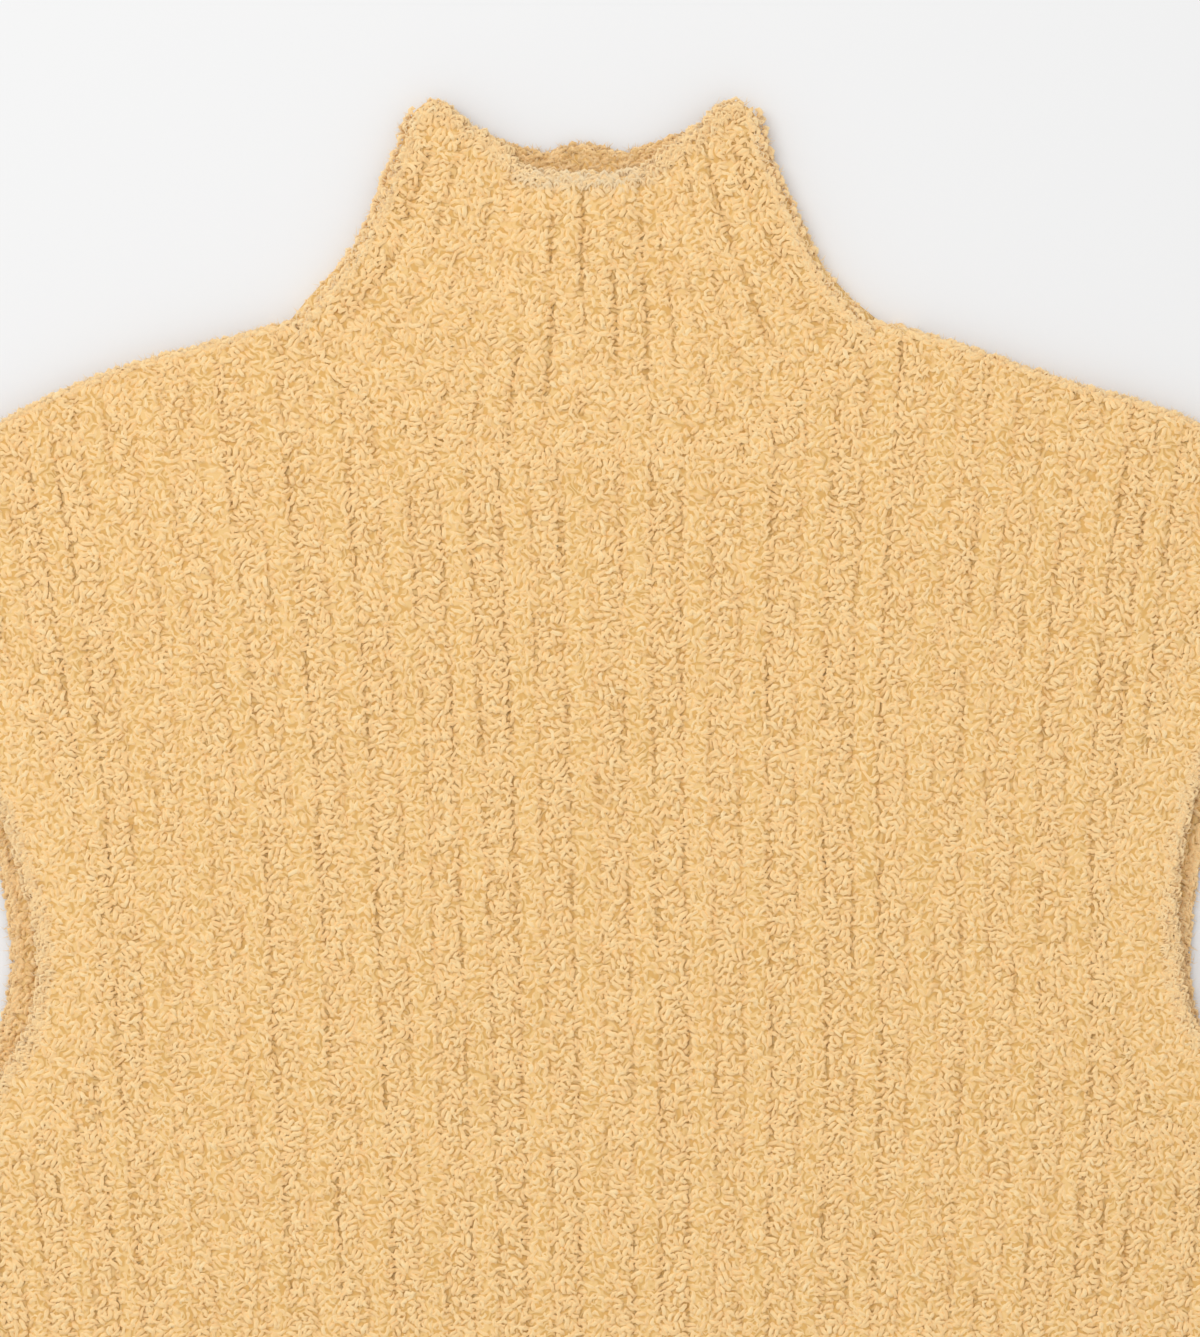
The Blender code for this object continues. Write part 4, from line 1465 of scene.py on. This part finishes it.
def round_edge(path, out, low, high, bulge):
    """The face of an edge between z low and z high: its place and the level direction outwards,
    by the distance along it and how far inside its rounded part it is, which is below 0 on the
    round. Also gives its length."""
    along = distance_along(path)
    flat = np.ones(len(path))
    columns = np.column_stack([path, out, low * flat, high * flat]).T

    def face(distance, inside):
        x, h, out_x, out_h, foot, top = (np.interp(distance, along, column) for column in columns)
        off = np.stack([out_x, out_h], axis=-1) / np.hypot(out_x, out_h)[..., None]
        turn = np.pi / 2 * (1 + np.minimum(inside, 0) / EDGE_QUARTER)
        further = bulge * np.cos(turn) - np.maximum(inside, 0)
        place = np.stack([x, h], axis=-1) + off * further[..., None]
        place = np.column_stack([place, foot + (top - foot) / 2 * (1 + np.sin(turn))])
        return place, np.column_stack([off, 0 * turn])

    return face, along[-1]


def square_to(out):
    return np.column_stack([-out[:, 1], out[:, 0], np.zeros(len(out))])


def loops_round(edge, kind, dice, apart=1.0):
    """Loops that bow out from a rounded edge: their lines, upward directions and radii, and the
    share of the edge's length at which each lies."""
    face, length = edge
    count = int(length / (kind.step * apart))
    distance = (np.arange(count) + dice.uniform(0, 1, count)) / count * length
    start, out = face(distance, dice.uniform(-EDGE_BELOW, kind.inside, count))
    beside = square_to(out)
    out[:, 2] = dice.uniform(*LOOP_RISE, count)
    arc = np.linspace(0, np.pi, EDGE_POINTS)
    wide = dice.uniform(kind.narrow, kind.wide, (count, 1)) / 2
    reach = dice.uniform(kind.near, kind.far, (count, 1))
    lean = dice.uniform(-LOOP_LEAN, LOOP_LEAN, (count, 1))
    sideways = (np.cos(arc) + lean * np.sin(arc)) * wide
    lines = start[:, None] + sideways[..., None] * beside[:, None]
    lines += (np.sin(arc) * (reach + CURL_SINK) - CURL_SINK)[..., None] * out[:, None]
    return lines, upwards(lines), kind.radius * dice.uniform(*LOOP_RADII, count), distance / length


def loops_on(edge, kinds, dice, pale, darker=0.0, apart=1.0):
    """Groups of loops for curl_piece, one for each kind. How pale they are is a function of the
    kind and of the share of the edge's length."""
    groups = []
    for kind in kinds:
        *laid, share = loops_round(edge, kind, dice, apart)
        groups.append((*laid, pale(kind, share), darker))
    return groups


# %% Fibres that stand out from an edge
HAIR_EVERY = 0.22
HAIR_RADIUS = (0.1, 0.2)
HAIR_INSIDE, HAIR_LEAN, HAIR_BEND = 1.5, 0.95, 0.3
HAIR_RISE, HAIR_REACH = (-0.2, 0.5), (0.35, 1)
# Painted light: loose fibres are painted pale for the light that shines through them, and less so
# where they lie in painted shade.
HAIR_PALE = 0.6


def hairs_on(edge, far, dice, darker=0.0, every=HAIR_EVERY):
    """Loose fibres that stand out from a rounded edge, the longest of them far mm, as a group
    for curl_piece."""
    face, length = edge
    count = int(length / every)
    start, out = face(dice.uniform(0, length, count), dice.uniform(-EDGE_BELOW, HAIR_INSIDE, count))
    beside = square_to(out)
    out[:, 2] = dice.uniform(*HAIR_RISE, count)
    out += beside * dice.normal(0, HAIR_LEAN, (count, 1))
    out /= np.linalg.norm(out, axis=1, keepdims=True)
    reach = dice.uniform(*HAIR_REACH, (count, 1)) * far
    bend = beside * dice.normal(0, HAIR_BEND, (count, 1)) * reach
    lines = np.stack([start, start + out * reach / 2 + bend, start + out * reach], axis=1)
    radii = dice.uniform(*HAIR_RADIUS, count)
    return lines, upwards(lines), radii, HAIR_PALE * (1 - darker), darker


# %% Joining curls into one piece
# Painted light and shade along each curl: the crest term paints its crown paler and its two ends
# darker. The mean and the unevenness are the yarn's own tone.
YARN_MIDDLE, YARN_UNEVEN, YARN_PAINTED_CREST = 0.62, 0.11, 0.26
CREST_FROM = 0.75  # the share of its height above which a curl is paler than its mean


def curl_piece(name, groups, dice):
    """One mesh of many curls. Each group is lines, upward directions, radii, how pale its curls are
    painted as light at an edge, and how much darker they are painted as shade: both for all of it,
    for each curl or for each point."""
    lines, ups, radii = (np.concatenate([group[i] for group in groups]) for i in range(3))
    points, faces = strands(lines, ups, radii)
    piece = new_piece(name, points, faces, yarn)
    last = lines.shape[1] - 1
    around = np.repeat(np.arange(last + 1), [1] + [3] * (last - 1) + [1])
    pale, darker = (
        np.concatenate([np.broadcast_to(group[i], group[0].shape[:2]) for group in groups])
        for i in (3, 4)
    )
    own = dice.normal(YARN_MIDDLE, YARN_UNEVEN, (len(lines), 1))
    painted_crest = YARN_PAINTED_CREST * (np.sin(np.pi * np.arange(last + 1) / last) - CREST_FROM)
    shade = np.clip(own + painted_crest - darker, 0, 1)
    for attribute, values in (("shade", shade), ("edge", pale)):
        layer = piece.data.attributes.new(attribute, "FLOAT", "POINT")
        layer.data.foreach_set("value", values[:, around].astype(np.float32).ravel())
    flat_map(piece.data)
    print(name, len(lines), "curls,", len(faces), "triangles")
    return piece


# %% [markdown]
# ## Laying the curls
#
# The front is worked in four bands from the hem up, which keeps each mesh a workable size. Other
# curls lie across these, as thinner strands do that have come loose. At a seam the curls of both
# pieces run a little past it, and that hides it.

# %% Curls on the front
FRONT_BANDS = table("low, high", (0, 150), (150, 300), (300, 440), (440, 610))
OVER_EDGE, OVER_SEAM = 1.6, 3.0  # how far past a free and a sewn line curls are still tried
EDGE_DROPS = 2.8  # how far past a free edge the face has come down to the floor
RIB_TRIES, STITCH_TRIES = 6, 3  # places to try a curl at, across each rib and up each stitch


def past_free_edge(x, height):
    """How far a place lies outside the front's ground at its sides, shoulders and hem."""
    off_side = np.where(height < UNDERARM[1], np.abs(x) - HEM_HALF + LOOPS_OUT, 0)
    past = np.maximum(off_side, LOOPS_OUT - height)
    for side in SIDES.values():
        line = shoulder(side) * (side, 1)
        top_height = np.interp(side * x, *line.T, left=np.inf, right=np.inf)
        past = np.maximum(past, height - top_height + LOOPS_OUT)
    return np.maximum(past, 0)


def bowed_front_face(rib, height):
    """The front's face, which bows down past its free edges."""
    place = front_face(rib, height)
    place[..., 2] *= rounded_off(past_free_edge(place[..., 0], height), EDGE_DROPS)
    return place


curls_reach = inset(front_ground, -OVER_SEAM + (OVER_SEAM - OVER_EDGE) * front_free)[::3]


def on_front(rib, height):
    spots = np.column_stack([rib_x(rib, height).ravel(), height.ravel()])
    return is_inside(spots, curls_reach).reshape(rib.shape)


front_curls = []
for band_number, band in enumerate(FRONT_BANDS):
    dice = np.random.default_rng(100 + band_number)
    ribs = np.arange(-RIBS_EACH_SIDE - 1, RIBS_EACH_SIDE + 1, 1 / RIB_TRIES)
    heights = np.arange(band.low, band.high, STITCH / STITCH_TRIES)
    *laid, rib, height = curls_on(bowed_front_face, ribs, heights, on_front, dice)
    shadow = in_shadow(rib, dashes(rib, height))
    name = f"front_curls_{band_number + 1}"
    front_curls.append(curl_piece(name, [(*laid, 0.0, shadow)], dice))

# %% [markdown]
# The collar has four edges: its two folds, and the rim of each layer. The front rim's loops are
# long, and in the middle they are painted pale, as painted light that shines through them. The
# back layer shows above it from inside, painted darker as shade. A short edge more fills each
# inner corner at the shoulder.

# %% Where the collar's edges run
CORNER_SHARE, CORNER_RIB = 0.985, 7.4  # where the fold's loops end, and the rim's
CORNER_FROM, CORNER_SPAN = 0.05, 7.0  # from this share of the fold to so far along the shoulder
EDGE_BULGE = 0.5
OVER_FOLD = 0.28  # how far past the folds curls go, in ribs
OVER_RIM, UNDER_SEAM = 0.018, 0.032  # past the rim and the seam, in shares of its height
FOLD_POINTS, RIM_POINTS, END_POINTS = 80, 200, 20


def fold_edge(side):
    """The collar's fold on one side, up to where the rim rounds its corner."""
    shares = np.linspace(-UNDER_SEAM / 2, CORNER_SHARE, FOLD_POINTS)
    ribs = np.full(FOLD_POINTS, side * COLLAR_HALF_RIBS)
    path = np.column_stack(collar_flat(ribs, shares, np.ones(FOLD_POINTS)))
    top = collar_front_face(ribs, shares)[:, 2]
    return round_edge(path, side * to_right(path), 0.0, top, COLLAR_THICK / 2)


def rim_edge(layer):
    """The collar's free edge: 1 on the front layer, 0 on the back one."""
    ribs, share = np.linspace(-CORNER_RIB, CORNER_RIB, RIM_POINTS), np.ones(RIM_POINTS)
    path = np.column_stack(collar_flat(ribs, share, layer * share))
    low = front_inside(*path.T) if layer else 0.0
    high = (collar_front_face if layer else collar_back_inside)(ribs, share)[:, 2]
    return round_edge(path, -to_right(path), low, high, RIM_ROUND)


def neck_corner(side):
    """The inner corner between the collar's fold and the shoulder, cut short by a line."""
    start = (np.array([n]) for n in (side * COLLAR_HALF_RIBS, CORNER_FROM, 1.0))
    fold = np.array(collar_flat(*start)).T
    line = moved_sideways(shoulder(side), side * LOOPS_OUT)
    line = line[np.argsort(np.abs(line[:, 0]))]
    on_shoulder = np.abs(line[:, 0]) > abs(fold[0, 0]) + CORNER_SPAN
    path = np.linspace(fold[0], line[on_shoulder][0], END_POINTS)
    top = front_inside(*path.T) + FRONT_WALL
    return round_edge(path, -side * to_right(path), 0.0, top, EDGE_BULGE)


print("round the rim:", round(float(rim_edge(1.0)[1]), 1), "mm in front")

# %% How pale an edge's loops are
# Painted light: loops at an edge are mixed towards a pale colour for the light that shines through
# thin loops. The thin ones and the middle of the front rim get the most.
EDGE_PALE, FRIZZ_PALER, RIM_PALE = 0.1, 0.3, 0.8
RIM_PALE_RIBS, RIM_PALE_SHARE = 4.5, 0.2  # the rim is palest so far either side of its middle
RIM_PALE_FROM = 0.94  # the share of the collar's height
CURLS_UNEVEN, LOOPS_UNEVEN = (0.4, 1), (0.2, 1)  # how much of that each of them gets


def frizz_paler(kind, share):
    """How pale the loops of most edges are painted, as light shining through them: the thin ones
    more than the others.
    """
    return EDGE_PALE + (FRIZZ_PALER if kind is FRIZZ else 0)


def rim_paler(most, dice):
    """The same painted light for the rim of the collar, where most of it is added in the middle."""

    def pale(kind, share):
        by_share = most * np.exp(-(((share - 0.5) / RIM_PALE_SHARE) ** 4))
        loop = np.maximum(by_share * dice.uniform(*LOOPS_UNEVEN, len(share)), EDGE_PALE)[:, None]
        return np.minimum(loop + (FRIZZ_PALER if kind is FRIZZ else 0), 1)

    return pale


# %% Curls on the collar and round its edges
# Painted shade: the back layer's inside and its rim lie behind the front, so they are painted
# darker. The inside is also mixed a little towards the pale edge colour, so that it greys.
INSIDE_PALE, INSIDE_PAINTED_SHADE, BACK_RIM_PAINTED_SHADE = 0.2, 0.5, 0.4
INSIDE_FROM = 0.7  # the share of the height from which the back layer can show
COLLAR_TRIES = (0.11, 0.012)  # between places to try a curl at, in ribs and shares of the height
CORNER_APART = 0.5
COLLAR_HAIRS = 5.0


def on_collar(rib, share):
    on_folds = np.abs(rib) < COLLAR_HALF_RIBS + OVER_FOLD
    return on_folds & (share > -UNDER_SEAM) & (share < 1 + OVER_RIM)


dice = np.random.default_rng(200)
reach = COLLAR_HALF_RIBS + OVER_FOLD
ribs = np.arange(-reach, reach, COLLAR_TRIES[0])
shares = np.arange(-UNDER_SEAM, 1 + OVER_RIM, COLLAR_TRIES[1])
*laid, rib, share = curls_on(collar_front_face, ribs, shares, on_collar, dice)
shadow = in_shadow(rib, collar_dashes(rib, collar_front_face(rib, share)[..., 1]))
# Painted light: the front's curls near the middle of the rim are painted pale, for the light that
# shines through them.
near_rim = np.clip((share - RIM_PALE_FROM) / (1 - RIM_PALE_FROM), 0, 1)
near_rim *= np.exp(-((rib / RIM_PALE_RIBS) ** 4)) * dice.uniform(*CURLS_UNEVEN, (len(rib), 1))
groups = [(*laid, RIM_PALE * near_rim, shadow)]
shares = np.arange(INSIDE_FROM, 1 + OVER_RIM, COLLAR_TRIES[1])
inner = curls_on(collar_back_inside, ribs, shares, on_collar, dice, [INNER, STRAY])
groups.append((*inner[:3], INSIDE_PALE, INSIDE_PAINTED_SHADE))
collar_curls = curl_piece("collar_curls", groups, dice)

loops, hairs = [], []
for edge, most, darker, kinds in (
    (rim_edge(1.0), RIM_PALE, 0.0, (PILE, FRIZZ, TERRY)),
    (rim_edge(0.0), 0.0, BACK_RIM_PAINTED_SHADE, (PILE, PILE, FRIZZ)),
    (fold_edge(-1), 0.0, 0.0, (PILE, PILE, FRIZZ)),
    (fold_edge(1), 0.0, 0.0, (PILE, PILE, FRIZZ)),
):
    loops += loops_on(edge, kinds, dice, rim_paler(most, dice), darker)
    hairs.append(hairs_on(edge, COLLAR_HAIRS, dice, darker))
for side in SIDES.values():
    corner = neck_corner(side)
    loops += loops_on(corner, (PILE, FRIZZ), dice, lambda *_: EDGE_PALE, apart=CORNER_APART)
collar_edge_curls = curl_piece("collar_edge_curls", loops, dice)
collar_hairs = curl_piece("collar_hairs", hairs, dice)

# %% [markdown]
# A strip is knitted plain, so it has no furrows. Its front layer has curls all over, and the
# back one has them where it can show past the front's edge, painted darker as shade. The free
# edges get rows of loops, and so do the folds that end the ring at the shoulder and under the arm.

# %% Curls on the strips and round their edges
STRIP_HAIRS, STRIP_HAIR_EVERY = 5.5, 0.3
STRIP_PALER = 0.08
BEHIND_FROM = 0.45  # the share of its width from which the back strip can show
# Painted shade on the back strip and on its edge, where they show past the front's edge.
BEHIND_PAINTED_SHADE, BEHIND_EDGE_PAINTED_SHADE = 0.3, 0.25


def strip_edge(lines, front):
    """The free edge of one layer of a strip."""
    seam, edge = lines
    path = edge + (seam - edge) * BAND_ROUNDED
    low = front_inside(*path.T) if front else 0.0
    bulge = BAND_ROUNDED * np.linalg.norm(seam - edge, axis=1).mean()
    return round_edge(path, edge - seam, low, low + BAND_WALL, bulge)


def strip_end(lines, end):
    """The fold between a strip's two layers, at the shoulder (0) or the underarm (-1)."""
    path = np.linspace(lines[0][end], lines[1][end], END_POINTS)
    out = lines[0][end] - lines[0][1 if end == 0 else -2]
    top = front_inside(*path.T) + BAND_WALL
    return round_edge(path, np.tile(out, (END_POINTS, 1)), 0.0, top, BAND_THICK / 2)


def strip_paler(kind, share):
    """The same for a strip: all but the thick loops are painted a little paler, as light shining
    through them.
    """
    return EDGE_PALE + (0 if kind is PILE else STRIP_PALER)


def on_strip(across, along):
    return (across > across_steps[0]) & (across < across_steps[-1]) & (along > 0) & (along < 1)


across_steps = np.arange(-0.09, 1.07, 0.05)  # from a little under its seam to past its edge
along_steps = np.arange(0, 1, 0.004)
band_yarn = {}
for band_number, (side_name, side) in enumerate(SIDES.items()):
    dice = np.random.default_rng(300 + band_number)
    lines = band_lines(FRONT_ARMHOLES[side], side)
    *laid, _, _ = curls_on(band_face(lines, True), across_steps, along_steps, on_strip, dice)
    groups = [(*laid, 0.0, 0.0)]
    lines_behind = band_lines(BACK_ARMHOLES[side], side)
    behind = band_face(lines_behind, False)
    showing = across_steps[across_steps > BEHIND_FROM]
    *laid, _, _ = curls_on(behind, showing, along_steps, on_strip, dice, [INNER])
    groups.append((*laid, 0.0, BEHIND_PAINTED_SHADE))
    band_yarn[side_name] = [curl_piece(f"armband_{side_name}_curls", groups, dice)]
    loops, hairs = [], []
    for edge, darker in (
        (strip_edge(lines, True), 0.0),
        (strip_edge(lines_behind, False), BEHIND_EDGE_PAINTED_SHADE),
        (strip_end(lines, 0), 0.0),
        (strip_end(lines, -1), 0.0),
    ):
        kinds = (PILE, PILE if darker else TERRY, FRIZZ)
        loops += loops_on(edge, kinds, dice, strip_paler, darker)
        hairs.append(hairs_on(edge, STRIP_HAIRS, dice, darker, STRIP_HAIR_EVERY))
    for name, groups in (("edge_curls", loops), ("hairs", hairs)):
        band_yarn[side_name].append(curl_piece(f"armband_{side_name}_{name}", groups, dice))

# %% [markdown]
# At the sides and shoulders the panels' edges are pressed together, so one row of loops covers
# both. The hem has a row for each panel. It lies outside the photograph and is sparser.

# %% Curls along the sides, the shoulders and the hem
LOOPS_THICK = 1.0  # how high the loops along an edge lie on the front's wall
HEM_APART = 2.0
PANEL_HAIRS = 5.0
dice = np.random.default_rng(400)
loops, hairs = [], []
for side in SIDES.values():
    for line, turned in ((side_seam(side), 1), (shoulder(side), -1)):
        path = moved_sideways(line, -side * turned * LOOPS_OUT)
        top = front_inside(*path.T) + FRONT_WALL + LOOPS_THICK
        edge = round_edge(path, side * turned * to_right(path), 0.0, top, EDGE_BULGE)
        loops += loops_on(edge, (PILE, PILE, FRIZZ), dice, frizz_paler)
        hairs.append(hairs_on(edge, PANEL_HAIRS, dice))
hem_end = HEM_HALF - LOOPS_OUT
hem = np.linspace((-hem_end, LOOPS_OUT), (hem_end, LOOPS_OUT), RIM_POINTS)
inside = front_inside(*hem.T)
for low, high in ((0.0, BACK_WALL), (inside, inside + FRONT_WALL + LOOPS_THICK)):
    edge = round_edge(hem, to_right(hem), low, high, EDGE_BULGE)
    loops += loops_on(edge, (PILE, FRIZZ), dice, lambda *_: EDGE_PALE, apart=HEM_APART)
    hairs.append(hairs_on(edge, PANEL_HAIRS, dice, every=HAIR_EVERY * HEM_APART))
panel_edge_curls = curl_piece("panel_edge_curls", loops, dice)
panel_hairs = curl_piece("panel_hairs", hairs, dice)

# %% [markdown]
# ## The pieces together
#
# The pieces are listed under the solid that each stands for and hung from one parent, and the
# imported solids are hidden.

# %% What each piece is


slots = {
    "body_knit": [front_shell, *front_curls, panel_edge_curls, panel_hairs],
    "back_knit": [back_shell],
    "collar_knit": [collar, collar_curls, collar_edge_curls, collar_hairs],
    "band_knit": [*bands.values(), *band_yarn["left"], *band_yarn["right"]],
}
pieces = [(slot, piece) for slot, those in slots.items() for piece in those]
for slot, piece in pieces:
    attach(piece, "root")
corners = sum(len(piece.data.loops) - 2 * len(piece.data.polygons) for _, piece in pieces)
print(len(pieces), "pieces,", corners, "triangles in all")
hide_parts("front_panel")
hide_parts("back_panel")
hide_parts("collar")
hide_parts("armband_left")
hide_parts("armband_right")

# %% Sizes, and the end
low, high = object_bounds()
{"cad": [list(cad_low), list(cad_high)], "visual": [list(low), list(high)]}
print("visual box in mm:", [round(1000 * (b - a), 1) for a, b in zip(low, high)])
